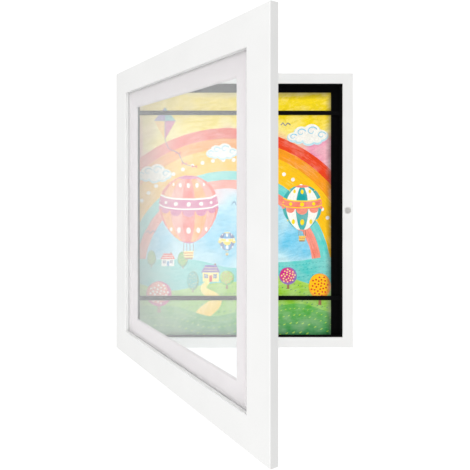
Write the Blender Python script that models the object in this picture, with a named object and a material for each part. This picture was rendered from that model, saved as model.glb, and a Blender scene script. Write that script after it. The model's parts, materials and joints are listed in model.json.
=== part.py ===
"""A childrens art frame that opens at the front: a shallow wall box and a hinged, glazed door with a mat.

Units are metres. Seen from the front, X runs to the right and Z up, and Y runs towards the wall.
The origin is the middle of the back panel's wall side, and the door stands partly open, as it rests.
"""

import math

import bmesh
import bpy
from mathutils import Matrix, Vector

MM = 0.001

# Clearances and cuts
SEAT_GAP = 0.3 * MM
CUT_OVERRUN = 1.0 * MM
WELD_DISTANCE = 0.001 * MM

# Drawing, which the box is made round
SHEET_WIDTH = 258.0 * MM
SHEET_HEIGHT = 328.0 * MM
SHEET_THICKNESS = 0.4 * MM
SHEET_LEFT_MARGIN = 8.9 * MM
SHEET_RIGHT_MARGIN = 13.7 * MM
SHEET_TOP_MARGIN = 11.2 * MM

# Wall box
BOX_RAIL_FACE = 13.7 * MM
BOX_LEDGE_WIDTH = 5.0 * MM
BOX_LEDGE_DEPTH = 7.2 * MM
BOX_EDGE_EASE = 0.4 * MM
LINING_THICKNESS = 1.2 * MM
PANEL_THICKNESS = 3.0 * MM
LINER_THICKNESS = 0.8 * MM
LINER_SETBACK = 0.7 * MM

# Straps
STRAP_WIDTH = 5.8 * MM
STRAP_THICKNESS = 1.0 * MM
STRAP_UPPER_DROP = 52.4 * MM
STRAP_LOWER_RISE = 65.0 * MM
STAPLE_WIRE = 0.4 * MM
STAPLE_BREADTH = 1.0 * MM
STAPLE_BITE = 2.5 * MM

# Magnet and its steel screw
MAGNET_RADIUS = 4.35 * MM
MAGNET_THICKNESS = 2.5 * MM
STRIKE_HEAD_RADIUS = 3.2 * MM
STRIKE_HEAD_DEPTH = 1.2 * MM
STRIKE_SHANK_RADIUS = 1.4 * MM
STRIKE_LENGTH = 6.0 * MM

# Door
DOOR_REVEAL = 2.5 * MM
DOOR_GAP = 0.6 * MM
DOOR_THICKNESS = 8.5 * MM
DOOR_MEMBER_WIDTH = 29.5 * MM
DOOR_REBATE_WIDTH = 7.0 * MM
DOOR_EDGE_EASE = 0.6 * MM
PANE_THICKNESS = 2.0 * MM
MAT_THICKNESS = 1.6 * MM
MAT_SIDE_MARGIN = 22.3 * MM
MAT_END_MARGIN = 20.9 * MM
DOOR_REST_ANGLE = math.radians(60.0)

# Butt hinges
HINGE_END_INSET = 74.0 * MM
LEAF_HEIGHT = 26.0 * MM
LEAF_WIDTH = 9.5 * MM
LEAF_THICKNESS = 0.9 * MM
KNUCKLE_RADIUS = 2.0 * MM
KNUCKLE_COUNT = 3
PIN_RADIUS = 0.9 * MM
PIN_HEAD_RADIUS = 1.6 * MM
PIN_HEAD_HEIGHT = 0.7 * MM
HINGE_SCREW_SPACING = 15.0 * MM
HINGE_SCREW_HEAD_RADIUS = 1.9 * MM
HINGE_SCREW_SHANK_RADIUS = 0.9 * MM
HINGE_SCREW_LENGTH = 7.0 * MM

# Turn buttons behind the door
BUTTON_SETBACK = 3.7 * MM
BUTTON_REACH = 8.0 * MM
BUTTON_THICKNESS = 1.0 * MM
BUTTON_HUB_RADIUS = 3.5 * MM
BUTTON_TIP_RADIUS = 2.2 * MM
BUTTON_SCREW_HEAD_RADIUS = 2.6 * MM
BUTTON_SCREW_HEAD_HEIGHT = 1.0 * MM
BUTTON_SCREW_SHANK_RADIUS = 1.1 * MM
BUTTON_SCREW_LENGTH = 6.0 * MM

# Sawtooth hangers, their nails and the bumpers
HANGER_LENGTH = 38.0 * MM
HANGER_HEIGHT = 7.5 * MM
HANGER_THICKNESS = 0.8 * MM
HANGER_FOOT = 6.0 * MM
HANGER_RAMP = 2.0 * MM
HANGER_RAISE = 1.2 * MM
HANGER_ARCH = 0.8 * MM
TOOTH_COUNT = 11
TOOTH_HEIGHT = 1.1 * MM
NAIL_HEAD_RADIUS = 1.5 * MM
NAIL_HEAD_HEIGHT = 0.5 * MM
NAIL_SHANK_RADIUS = 0.6 * MM
NAIL_LENGTH = 8.0 * MM
PANEL_NAIL_LENGTH = 9.0 * MM
PANEL_NAIL_INSET = 40.0 * MM
BUMPER_RADIUS = 4.0 * MM
BUMPER_INSET = 24.0 * MM

# Facets round a full circle
FINE_FACETS = 32
SMALL_FACETS = 16

# Shares of the sizes that they follow
TIP_LENGTH_SHARE = 3.3
HEAD_RIM_SHARE = 0.25
DOME_RADIUS_SHARE = 0.62
BUMPER_RIM_SHARE = 0.55

# Angles
RIGHT_ANGLE = math.radians(90.0)
MITRE_ANGLE = math.radians(45.0)
SMOOTH_ANGLE = math.radians(35.0)

# Outer size of the box, from the drawing that stands on its lower liner
SHEET_STAND = LINER_THICKNESS + 2 * SEAT_GAP
BOX_WIDTH = SHEET_LEFT_MARGIN + SHEET_WIDTH + SHEET_RIGHT_MARGIN + 2 * BOX_RAIL_FACE
BOX_HEIGHT = SHEET_STAND + SHEET_HEIGHT + SHEET_TOP_MARGIN + 2 * BOX_RAIL_FACE

# Places that follow from the sizes, as depths behind the box's front plane
LINING_FRONT = BOX_LEDGE_DEPTH + SEAT_GAP
PANEL_FRONT = LINING_FRONT + LINING_THICKNESS + SEAT_GAP
BOX_DEPTH = PANEL_FRONT + PANEL_THICKNESS
SHEET_BACK = LINING_FRONT - SEAT_GAP
SHEET_FRONT = SHEET_BACK - SHEET_THICKNESS
STRAP_BACK = SHEET_FRONT - SEAT_GAP
STRAP_FRONT = STRAP_BACK - STRAP_THICKNESS
STRAP_NOTCH_FLOOR = STRAP_FRONT - SEAT_GAP
STRAP_HEIGHTS = {
    "upper": BOX_HEIGHT / 2 - STRAP_UPPER_DROP,
    "lower": STRAP_LOWER_RISE - BOX_HEIGHT / 2,
}

# Places that follow from the sizes, seen from the front
BOX_FRONT = -BOX_DEPTH
RAIL_BACK_WIDTH = BOX_RAIL_FACE - BOX_LEDGE_WIDTH
CAVITY_HALF_WIDTH = BOX_WIDTH / 2 - BOX_RAIL_FACE
CAVITY_HALF_HEIGHT = BOX_HEIGHT / 2 - BOX_RAIL_FACE
REBATE_HALF_WIDTH = BOX_WIDTH / 2 - RAIL_BACK_WIDTH
REBATE_HALF_HEIGHT = BOX_HEIGHT / 2 - RAIL_BACK_WIDTH
LEDGE_CENTRE = BOX_WIDTH / 2 - BOX_RAIL_FACE + BOX_LEDGE_WIDTH / 2
MAGNET_X = BOX_WIDTH / 2 - BOX_RAIL_FACE / 2

# Door, as it lies closed, with depths behind its own front face
DOOR_WIDTH = BOX_WIDTH - DOOR_REVEAL
DOOR_HEIGHT = BOX_HEIGHT - 2 * DOOR_REVEAL
DOOR_BACK = BOX_FRONT - DOOR_GAP
DOOR_FRONT = DOOR_BACK - DOOR_THICKNESS
DOOR_CENTRE_X = (DOOR_WIDTH - BOX_WIDTH) / 2
MAT_BACK = DOOR_THICKNESS
MAT_FRONT = MAT_BACK - MAT_THICKNESS
PANE_BACK = MAT_FRONT - SEAT_GAP
PANE_FRONT = PANE_BACK - PANE_THICKNESS
DOOR_LIP = PANE_FRONT - SEAT_GAP
BUTTON_INSET = DOOR_MEMBER_WIDTH - DOOR_REBATE_WIDTH - BUTTON_SETBACK
GLAZING_WIDTH = DOOR_WIDTH - 2 * (DOOR_MEMBER_WIDTH - DOOR_REBATE_WIDTH + SEAT_GAP)
GLAZING_HEIGHT = DOOR_HEIGHT - 2 * (DOOR_MEMBER_WIDTH - DOOR_REBATE_WIDTH + SEAT_GAP)
MAT_APERTURE_WIDTH = DOOR_WIDTH - 2 * (DOOR_MEMBER_WIDTH + MAT_SIDE_MARGIN)
MAT_APERTURE_HEIGHT = DOOR_HEIGHT - 2 * (DOOR_MEMBER_WIDTH + MAT_END_MARGIN)

# Hinge axis, and the places on a leaf measured from it
HINGE_OFFSET = KNUCKLE_RADIUS + SEAT_GAP
HINGE_AXIS = Vector((-BOX_WIDTH / 2 - HINGE_OFFSET, BOX_FRONT - DOOR_GAP / 2, 0.0))
LEAF_FACE = DOOR_GAP / 2
MORTISE_DEPTH = LEAF_THICKNESS + SEAT_GAP
PIN_BORE_RADIUS = PIN_RADIUS + SEAT_GAP
HINGE_SCREW_X = HINGE_OFFSET + LEAF_WIDTH / 2
HINGE_PLACES = {
    "upper": BOX_HEIGHT / 2 - HINGE_END_INSET,
    "lower": HINGE_END_INSET - BOX_HEIGHT / 2,
}

# Each side of a frame is the bottom one turned by so many right angles about Y
TURN_COUNTS = {"bottom": 0, "left": 1, "top": 2, "right": 3}


# Scene helpers


def clear_scene():
    """Remove the objects that a new file starts with."""
    for obj in list(bpy.data.objects):
        bpy.data.objects.remove(obj)


def new_collection(name):
    """Make a collection in the scene."""
    collection = bpy.data.collections.new(name)
    bpy.context.scene.collection.children.link(collection)
    return collection


def new_material(name, colour, roughness, metallic=0.0, alpha=1.0):
    """Make a Principled material with the finish's colour, roughness and metallic value."""
    material = bpy.data.materials.new(name)
    material.use_nodes = True
    shader = material.node_tree.nodes["Principled BSDF"]
    shader.inputs["Base Color"].default_value = (*colour, 1.0)
    shader.inputs["Roughness"].default_value = roughness
    shader.inputs["Metallic"].default_value = metallic
    shader.inputs["Alpha"].default_value = alpha
    material.diffuse_color = (*colour, alpha)
    return material


def new_empty(name, collection, location):
    """Make an empty that carries other objects."""
    empty = bpy.data.objects.new(name, None)
    empty.location = location
    collection.objects.link(empty)
    return empty


def to_mesh(bm, name):
    """Write a bmesh to a new mesh, with its sharp edges marked, and free the bmesh."""
    mesh = bpy.data.meshes.new(name)
    bm.to_mesh(mesh)
    bm.free()
    mesh.set_sharp_from_angle(angle=SMOOTH_ANGLE)
    return mesh


def place(name, mesh, material, carrier, location=(0.0, 0.0, 0.0), turns=(0.0, 0.0, 0.0)):
    """Add a piece to the carrier's collection, placed in the carrier's own coordinates."""
    if not mesh.materials:
        mesh.materials.append(material)
    piece = bpy.data.objects.new(name, mesh)
    piece.parent = carrier
    piece.location = location
    piece.rotation_euler = turns
    carrier.users_collection[0].objects.link(piece)
    return piece


def cut(piece, bm, name, location, turns=(0.0, 0.0, 0.0)):
    """Cut a shape out of a piece, with the cutter kept in its own collection and carried along."""
    cutter = bpy.data.objects.new(name, to_mesh(bm, name))
    cutter.parent = piece.parent
    cutter.location = location
    cutter.rotation_euler = turns
    cutter.hide_render = True
    cutter.display_type = "WIRE"
    bpy.data.collections["cutters"].objects.link(cutter)
    modifier = piece.modifiers.new(name, "BOOLEAN")
    modifier.operation = "DIFFERENCE"
    modifier.object = cutter
    return cutter


def combine(name, base, tools):
    """Apply Boolean tools, each an operation and a bmesh, to a bmesh and return the finished mesh."""
    target = bpy.data.objects.new(name, to_mesh(base, name))
    bpy.data.collections["cutters"].objects.link(target)
    helpers = []
    for operation, bm in tools:
        helper = bpy.data.objects.new(name + "_tool", to_mesh(bm, name + "_tool"))
        bpy.data.collections["cutters"].objects.link(helper)
        helpers.append(helper)
        modifier = target.modifiers.new(helper.name, "BOOLEAN")
        modifier.operation = operation
        modifier.object = helper
    graph = bpy.context.evaluated_depsgraph_get()
    mesh = bpy.data.meshes.new_from_object(target.evaluated_get(graph))
    mesh.name = name
    for helper in [target, *helpers]:
        bpy.data.objects.remove(helper)
    mesh.set_sharp_from_angle(angle=SMOOTH_ANGLE)
    return mesh


# Shapes


def smooth(bm):
    """Shade a shape with round walls smooth, and return it."""
    for face in bm.faces:
        face.smooth = True
    return bm


def block(low, high):
    """A box between two corners."""
    low, high = Vector(low), Vector(high)
    bm = bmesh.new()
    bmesh.ops.create_cube(bm, size=1.0)
    bmesh.ops.scale(bm, vec=high - low, verts=bm.verts)
    bmesh.ops.translate(bm, vec=(low + high) / 2, verts=bm.verts)
    return bm


def extruded(outline, start, end):
    """Extrude a closed outline of (x, z) points along Y from start to end."""
    bm = bmesh.new()
    face = bm.faces.new([bm.verts.new((x, start, z)) for x, z in outline])
    made = bmesh.ops.extrude_face_region(bm, geom=[face])["geom"]
    far = [item for item in made if isinstance(item, bmesh.types.BMVert)]
    bmesh.ops.translate(bm, vec=(0.0, end - start, 0.0), verts=far)
    bmesh.ops.recalc_face_normals(bm, faces=bm.faces)
    return smooth(bm)


def turned(profile, facets):
    """Turn a profile of (radius, height) points, from pole to pole, about Z."""
    bm = bmesh.new()
    points = [bm.verts.new((radius, 0.0, height)) for radius, height in profile]
    edges = [bm.edges.new(pair) for pair in zip(points, points[1:])]
    bmesh.ops.spin(
        bm, geom=points + edges, cent=(0.0, 0.0, 0.0), axis=(0.0, 0.0, 1.0),
        angle=math.tau, steps=facets, use_merge=True,
    )
    bmesh.ops.remove_doubles(bm, verts=bm.verts, dist=WELD_DISTANCE)
    bmesh.ops.recalc_face_normals(bm, faces=bm.faces)
    return smooth(bm)


def rod(radius, low, high, facets=SMALL_FACETS):
    """A round rod along Z."""
    return turned([(0.0, low), (radius, low), (radius, high), (0.0, high)], facets)


def turn(bm, angle, axis):
    """Turn a bmesh about the origin and return it."""
    bmesh.ops.rotate(bm, cent=(0.0, 0.0, 0.0), matrix=Matrix.Rotation(angle, 3, axis), verts=bm.verts)
    return bm


def shift(bm, offset):
    """Move a bmesh and return it."""
    bmesh.ops.translate(bm, vec=offset, verts=bm.verts)
    return bm


def arc(centre_x, centre_z, radius, start, end, steps):
    """The (x, z) points of an arc, both ends included."""
    angles = [start + (end - start) * step / steps for step in range(steps + 1)]
    return [(centre_x + radius * math.cos(a), centre_z + radius * math.sin(a)) for a in angles]


# Frame members


def mitred_member(profile, length):
    """A frame member along X with its outer edge on Z = 0 and its front on Y = 0.

    The profile's points are (inset from the outer edge, depth from the front).
    """
    mitre_relief = SEAT_GAP * math.cos(MITRE_ANGLE)
    bm = bmesh.new()
    near = [
        bm.verts.new((inset + mitre_relief - length / 2, depth, inset)) for inset, depth in profile
    ]
    made = bmesh.ops.extrude_face_region(bm, geom=[bm.faces.new(near)])["geom"]
    for far in [item for item in made if isinstance(item, bmesh.types.BMVert)]:
        far.co.x = -far.co.x
    bmesh.ops.recalc_face_normals(bm, faces=bm.faces)
    return bm


def rebated_profile(width, ledge, ledge_depth, depth, ease):
    """The section of a member with eased front edges and a rebate at the back of its inner edge."""
    return [
        (ease, 0.0),
        (width - ease, 0.0),
        (width, ease),
        (width, ledge_depth),
        (width - ledge, ledge_depth),
        (width - ledge, depth),
        (0.0, depth),
        (0.0, ease),
    ]


def frame_members(names, profile, width, height, centre, material, carrier):
    """Make the four mitred members of a frame round a centre on its front plane."""
    members = {}
    for side, turns in TURN_COUNTS.items():
        level = turns % 2 == 0
        length, across = (width, height) if level else (height, width)
        outward = Matrix.Rotation(turns * RIGHT_ANGLE, 3, "Y") @ Vector((0.0, 0.0, -across / 2))
        mesh = to_mesh(mitred_member(profile, length), names[side])
        members[side] = place(
            names[side], mesh, material, carrier, Vector(centre) + outward, (0.0, turns * RIGHT_ANGLE, 0.0)
        )
    return members


# Fasteners


def pan_screw(head_radius, head_height, shank_radius, length):
    """A screw whose domed head stands on Z = 0, with its shank below."""
    tip = shank_radius * TIP_LENGTH_SHARE
    profile = [(0.0, -length), (shank_radius, tip - length), (shank_radius, 0.0), (head_radius, 0.0)]
    profile.append((head_radius, head_height * HEAD_RIM_SHARE))
    profile.append((head_radius * DOME_RADIUS_SHARE, head_height))
    profile.append((0.0, head_height))
    return turned(profile, SMALL_FACETS)


def flat_screw(head_radius, head_depth, shank_radius, length):
    """A countersunk screw whose head ends flush at Z = 0."""
    tip = shank_radius * TIP_LENGTH_SHARE
    profile = [(0.0, -length), (shank_radius, tip - length), (shank_radius, -head_depth)]
    profile += [(head_radius, -head_depth * HEAD_RIM_SHARE), (head_radius, 0.0), (0.0, 0.0)]
    return turned(profile, SMALL_FACETS)


def screw_hole(shank_radius, length):
    """The cutter for a screw's shank, sunk from Z = 0."""
    return rod(shank_radius + SEAT_GAP, -length - SEAT_GAP, CUT_OVERRUN)


def sunk_hole(head_radius, head_depth, shank_radius, length):
    """The cutter for a flush head and its shank, sunk from Z = 0."""
    head, shank = head_radius + SEAT_GAP, shank_radius + SEAT_GAP
    low, step = -length - SEAT_GAP, -head_depth - SEAT_GAP
    profile = [(0.0, low), (shank, low), (shank, step), (head, step)]
    return turned(profile + [(head, CUT_OVERRUN), (0.0, CUT_OVERRUN)], SMALL_FACETS)


# Wall box


def build_box(materials, carrier):
    """The four mitred members of the wall box, cut for all that they hold."""
    profile = rebated_profile(
        BOX_RAIL_FACE, BOX_LEDGE_WIDTH, BOX_LEDGE_DEPTH, BOX_DEPTH, BOX_EDGE_EASE
    )
    names = {
        "bottom": "box_rail_bottom",
        "left": "box_stile_left",
        "top": "box_rail_top",
        "right": "box_stile_right",
    }
    centre = (0.0, BOX_FRONT, 0.0)
    members = frame_members(
        names, profile, BOX_WIDTH, BOX_HEIGHT, centre, materials["lacquer"], carrier
    )
    for side, direction in (("left", -1), ("right", 1)):
        for level, height in STRAP_HEIGHTS.items():
            cut_strap_notch(members[side], direction, level, height)
    cut_magnet_seat(members["right"])
    cut_hinge_seats(members["left"])
    return members


def build_back(materials, members, carrier):
    """The fibreboard panel in the rebate and the felt-covered card in front of it, on four nails."""
    half = Vector((REBATE_HALF_WIDTH - SEAT_GAP, 0.0, REBATE_HALF_HEIGHT - SEAT_GAP))
    panel = block(-half + Vector((0.0, BOX_FRONT + PANEL_FRONT, 0.0)), half)
    panel = place("back_panel", to_mesh(panel, "back_panel"), materials["fibreboard"], carrier)
    front = Vector((0.0, BOX_FRONT + LINING_FRONT, 0.0))
    lining = block(front - half, front + half + Vector((0.0, LINING_THICKNESS, 0.0)))
    lining = place("back_lining", to_mesh(lining, "back_lining"), materials["felt"], carrier)
    mesh = to_mesh(
        flat_screw(NAIL_HEAD_RADIUS, NAIL_HEAD_HEIGHT, NAIL_SHANK_RADIUS, PANEL_NAIL_LENGTH),
        "panel_nail",
    )
    turns = (-RIGHT_ANGLE, 0.0, 0.0)
    rise = BOX_HEIGHT / 2 - PANEL_NAIL_INSET
    corners = [(side, level) for side in ("left", "right") for level in (1, -1)]
    for number, (side, level) in enumerate(corners, start=1):
        across = LEDGE_CENTRE if side == "right" else -LEDGE_CENTRE
        spot = (across, 0.0, level * rise)
        place(f"panel_nail_{number}", mesh, materials["steel"], carrier, spot, turns)
        for piece in (panel, lining, members[side]):
            hole = sunk_hole(NAIL_HEAD_RADIUS, NAIL_HEAD_HEIGHT, NAIL_SHANK_RADIUS, PANEL_NAIL_LENGTH)
            cut(piece, hole, f"panel_nail_hole_{number}", spot, turns)


def build_liners(materials, carrier):
    """The black strips on the walls of the box, with the side ones notched for the straps."""
    front = BOX_FRONT + LINER_SETBACK
    back = BOX_FRONT + BOX_LEDGE_DEPTH
    outer_z = CAVITY_HALF_HEIGHT - SEAT_GAP
    inner_z = outer_z - LINER_THICKNESS
    half_x = CAVITY_HALF_WIDTH - SEAT_GAP
    for name, low, high in (("liner_top", inner_z, outer_z), ("liner_bottom", -outer_z, -inner_z)):
        strip = block((-half_x, front, low), (half_x, back, high))
        place(name, to_mesh(strip, name), materials["felt"], carrier)
    outline = side_liner_outline(inner_z - SEAT_GAP, front, back)
    for name, low in (("liner_left", -half_x), ("liner_right", half_x - LINER_THICKNESS)):
        # The outline is drawn in depth and height, then stood on the box's side wall.
        strip = turn(extruded(outline, 0.0, LINER_THICKNESS), -RIGHT_ANGLE, "Z")
        place(name, to_mesh(shift(strip, (low, 0.0, 0.0)), name), materials["felt"], carrier)


def side_liner_outline(half_height, front, back):
    """A side liner's outline, with a notch at the back for each strap, as (-depth, height) points."""
    half_notch = STRAP_WIDTH / 2 + SEAT_GAP
    floor = BOX_FRONT + STRAP_NOTCH_FLOOR
    outline = [(-front, -half_height), (-back, -half_height)]
    for height in sorted(STRAP_HEIGHTS.values()):
        outline += [(-back, height - half_notch), (-floor, height - half_notch)]
        outline += [(-floor, height + half_notch), (-back, height + half_notch)]
    return outline + [(-back, half_height), (-front, half_height)]


def build_sheet(materials, carrier):
    """The drawing, which stands on the lower liner in front of the lining."""
    left = SHEET_LEFT_MARGIN - CAVITY_HALF_WIDTH
    foot = SHEET_STAND - CAVITY_HALF_HEIGHT
    low = (left, BOX_FRONT + SHEET_FRONT, foot)
    high = (left + SHEET_WIDTH, BOX_FRONT + SHEET_BACK, foot + SHEET_HEIGHT)
    place("art_sheet", to_mesh(block(low, high), "art_sheet"), materials["paper"], carrier)


# Straps


def build_straps(materials, carrier):
    """The elastic straps, each held by a staple through a notch in either stile."""
    half_x = REBATE_HALF_WIDTH - SEAT_GAP
    staple = to_mesh(strap_staple(), "strap_staple")
    for level, height in STRAP_HEIGHTS.items():
        low = (-half_x, BOX_FRONT + STRAP_FRONT, height - STRAP_WIDTH / 2)
        high = (half_x, BOX_FRONT + STRAP_BACK, height + STRAP_WIDTH / 2)
        name = "strap_" + level
        place(name, to_mesh(block(low, high), name), materials["elastic"], carrier)
        for side, direction in (("left", -1), ("right", 1)):
            spot = (direction * LEDGE_CENTRE, BOX_FRONT + STRAP_BACK + SEAT_GAP, height)
            place(f"strap_staple_{level}_{side}", staple, materials["steel"], carrier, spot)


def staple_half_width():
    """Half the outer width of a strap's staple, whose legs pass beside the strap."""
    return STRAP_WIDTH / 2 + SEAT_GAP + STAPLE_WIRE


def staple_leg_length():
    """How far a staple's leg runs from the strap's back to its end in the stile."""
    return STRAP_BACK + SEAT_GAP - STRAP_NOTCH_FLOOR + STAPLE_BITE


def strap_staple():
    """A wire staple with its crown behind the strap and its legs pointing forwards."""
    outer = staple_half_width()
    inner = outer - STAPLE_WIRE
    leg = staple_leg_length()
    # The outline is drawn in depth and height, then stood across the stile.
    outline = [(-STAPLE_WIRE, -outer), (-STAPLE_WIRE, outer), (leg, outer), (leg, inner)]
    outline += [(0.0, inner), (0.0, -inner), (leg, -inner), (leg, -outer)]
    return turn(extruded(outline, -STAPLE_BREADTH / 2, STAPLE_BREADTH / 2), -RIGHT_ANGLE, "Z")


def cut_strap_notch(stile, direction, level, height):
    """Cut a strap's notch, open at the back of the ledge, and the two holes for its staple's legs."""
    half_notch = staple_half_width() + SEAT_GAP
    near, far = sorted((direction * REBATE_HALF_WIDTH, direction * (CAVITY_HALF_WIDTH - CUT_OVERRUN)))
    floor = BOX_FRONT + STRAP_NOTCH_FLOOR
    back = BOX_FRONT + BOX_LEDGE_DEPTH + CUT_OVERRUN
    notch = block((near, floor, height - half_notch), (far, back, height + half_notch))
    cut(stile, notch, f"notch_{level}", (0.0, 0.0, 0.0))
    hole = Vector((STAPLE_BREADTH / 2 + SEAT_GAP, STAPLE_BITE + SEAT_GAP, STAPLE_WIRE / 2 + SEAT_GAP))
    for end in (-1, 1):
        leg_height = height + end * (staple_half_width() - STAPLE_WIRE / 2)
        spot = Vector((direction * LEDGE_CENTRE, floor, leg_height))
        deep = spot + Vector((hole.x, CUT_OVERRUN, hole.z))
        cut(stile, block(spot - hole, deep), f"staple_hole_{level}", (0.0, 0.0, 0.0))


# Magnet


def build_magnet(materials, carrier):
    """The magnet disc, flush in the right stile's face."""
    disc = rod(MAGNET_RADIUS, -MAGNET_THICKNESS, 0.0, FINE_FACETS)
    spot = (MAGNET_X, BOX_FRONT, 0.0)
    mesh = to_mesh(disc, "magnet_disc")
    place("magnet_disc", mesh, materials["magnet"], carrier, spot, (RIGHT_ANGLE, 0.0, 0.0))


def cut_magnet_seat(stile):
    """Cut the blind hole that holds the magnet."""
    seat = rod(MAGNET_RADIUS + SEAT_GAP, -MAGNET_THICKNESS - SEAT_GAP, CUT_OVERRUN, FINE_FACETS)
    cut(stile, seat, "magnet_seat", (MAGNET_X, BOX_FRONT, 0.0), (RIGHT_ANGLE, 0.0, 0.0))


# Hinges


def knuckle_range(index):
    """The lowest and highest point of a knuckle, counted from the bottom of the leaf."""
    pitch = LEAF_HEIGHT / KNUCKLE_COUNT
    low = index * pitch - LEAF_HEIGHT / 2
    below = SEAT_GAP / 2 if index else 0.0
    above = SEAT_GAP / 2 if index < KNUCKLE_COUNT - 1 else 0.0
    return low + below, low + pitch - above


def knuckle(index, facing):
    """One rolled knuckle with the tongue that joins it to its leaf, along Z."""
    low, high = knuckle_range(index)
    top, bottom = LEAF_FACE + LEAF_THICKNESS, LEAF_FACE
    start = math.asin(top / KNUCKLE_RADIUS)
    end = math.tau + math.asin(bottom / KNUCKLE_RADIUS)
    outline = arc(0.0, 0.0, KNUCKLE_RADIUS, start, end, FINE_FACETS)
    reach = HINGE_OFFSET + LEAF_THICKNESS
    outline += [(reach, bottom), (reach, top)]
    # The outline is drawn in X and Z, then laid down so that it stands along the hinge's axis.
    bm = turn(extruded(outline, -high, -low), RIGHT_ANGLE, "X")
    if facing > 0:
        bmesh.ops.scale(bm, vec=(1.0, -1.0, 1.0), verts=bm.verts)
        bmesh.ops.recalc_face_normals(bm, faces=bm.faces)
    return bm


def hinge_leaf(name, knuckles, facing):
    """A leaf whose plate lies on the facing side of the hinge's plane, with its knuckles and holes."""
    near, far = sorted((facing * LEAF_FACE, facing * (LEAF_FACE + LEAF_THICKNESS)))
    half = LEAF_HEIGHT / 2
    base = block((HINGE_OFFSET, near, -half), (HINGE_OFFSET + LEAF_WIDTH, far, half))
    tools = [("UNION", knuckle(index, facing)) for index in knuckles]
    tools.append(("DIFFERENCE", rod(PIN_BORE_RADIUS, -half - CUT_OVERRUN, half + CUT_OVERRUN)))
    for end in (-1, 1):
        hole = countersink()
        turn(hole, facing * RIGHT_ANGLE, "X")
        shift(hole, (HINGE_SCREW_X, facing * LEAF_FACE, end * HINGE_SCREW_SPACING / 2))
        tools.append(("DIFFERENCE", hole))
    return combine(name, base, tools)


def countersink():
    """The cutter for a flat screw's hole in a leaf, with the head's face on Z = 0."""
    shank = HINGE_SCREW_SHANK_RADIUS + SEAT_GAP
    head = HINGE_SCREW_HEAD_RADIUS + SEAT_GAP
    low = -LEAF_THICKNESS - CUT_OVERRUN
    profile = [(0.0, low), (shank, low), (shank, -LEAF_THICKNESS), (head, -LEAF_THICKNESS * HEAD_RIM_SHARE)]
    profile += [(head, CUT_OVERRUN), (0.0, CUT_OVERRUN)]
    return turned(profile, SMALL_FACETS)


def hinge_pin():
    """The pin with a head at the top of the knuckles."""
    half = LEAF_HEIGHT / 2
    shoulder = half + SEAT_GAP
    top = shoulder + PIN_HEAD_HEIGHT
    profile = [(0.0, -half), (PIN_RADIUS, -half), (PIN_RADIUS, shoulder), (PIN_HEAD_RADIUS, shoulder)]
    profile += [(PIN_HEAD_RADIUS, top), (0.0, top)]
    return turned(profile, SMALL_FACETS)


def build_hinges(materials, box, door):
    """Two butt hinges with interleaved knuckles: a leaf on the box, a leaf on the door and a pin."""
    inner = [index for index in range(KNUCKLE_COUNT) if index % 2]
    outer = [index for index in range(KNUCKLE_COUNT) if index % 2 == 0]
    box_leaf = hinge_leaf("hinge_leaf_box", outer, 1)
    door_leaf = hinge_leaf("hinge_leaf_door", inner, -1)
    pin = to_mesh(hinge_pin(), "hinge_pin")
    screw = to_mesh(
        flat_screw(
            HINGE_SCREW_HEAD_RADIUS, LEAF_THICKNESS, HINGE_SCREW_SHANK_RADIUS, HINGE_SCREW_LENGTH
        ),
        "hinge_screw",
    )
    steel = materials["steel"]
    for level, height in HINGE_PLACES.items():
        axis = HINGE_AXIS + Vector((0.0, 0.0, height))
        place("hinge_leaf_box_" + level, box_leaf, steel, box, axis)
        place("hinge_pin_" + level, pin, steel, box, axis)
        place("hinge_leaf_door_" + level, door_leaf, steel, door, (0.0, 0.0, height))
    for number, height in enumerate(hinge_screw_heights(), start=1):
        spot = Vector((HINGE_SCREW_X, LEAF_FACE, height))
        turns = (RIGHT_ANGLE, 0.0, 0.0)
        place(f"hinge_screw_box_{number}", screw, steel, box, HINGE_AXIS + spot, turns)
        spot = Vector((HINGE_SCREW_X, -LEAF_FACE, height))
        turns = (-RIGHT_ANGLE, 0.0, 0.0)
        place(f"hinge_screw_door_{number}", screw, steel, door, spot, turns)


def hinge_screw_heights():
    """The heights of the hinge screws in one stile, from the top down."""
    return [
        middle + end * HINGE_SCREW_SPACING / 2 for middle in HINGE_PLACES.values() for end in (1, -1)
    ]


def cut_hinge_seats(stile, facing=1):
    """Cut the leaves' mortises and the screws' holes into the box's or the door's hinge stile.

    The facing is 1 on the box, which lies behind the hinge's plane, and -1 on the door.
    """
    origin = HINGE_AXIS if facing > 0 else Vector((0.0, 0.0, 0.0))
    face = facing * LEAF_FACE
    near, far = sorted((face - facing * CUT_OVERRUN, face + facing * MORTISE_DEPTH))
    half = LEAF_HEIGHT / 2 + SEAT_GAP
    reach = HINGE_OFFSET + LEAF_WIDTH + SEAT_GAP
    for level, height in HINGE_PLACES.items():
        seat = block((0.0, near, height - half), (reach, far, height + half))
        cut(stile, seat, "mortise_" + level, origin)
    for number, height in enumerate(hinge_screw_heights(), start=1):
        hole = screw_hole(HINGE_SCREW_SHANK_RADIUS, HINGE_SCREW_LENGTH)
        spot = origin + Vector((HINGE_SCREW_X, face, height))
        cut(stile, hole, f"hinge_hole_{number}", spot, (facing * RIGHT_ANGLE, 0.0, 0.0))


# Hangers and bumpers


def hanger_outline():
    """The stations of the sawtooth hanger: X, how far it stands off, and its lower edge."""
    half = HANGER_LENGTH / 2
    foot = half - HANGER_FOOT
    teeth = foot - HANGER_RAMP
    low = -HANGER_HEIGHT / 2
    stations = [(-half, 0.0, low), (-foot, 0.0, low)]
    for step in range(2 * TOOTH_COUNT + 1):
        x = teeth * (step / TOOTH_COUNT - 1)
        arch = HANGER_ARCH * (1 - (x / teeth) ** 2)
        tooth = TOOTH_HEIGHT if step % 2 else 0.0
        stations.append((x, HANGER_RAISE, low + arch + tooth))
    return stations + [(foot, 0.0, low), (half, 0.0, low)]


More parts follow.
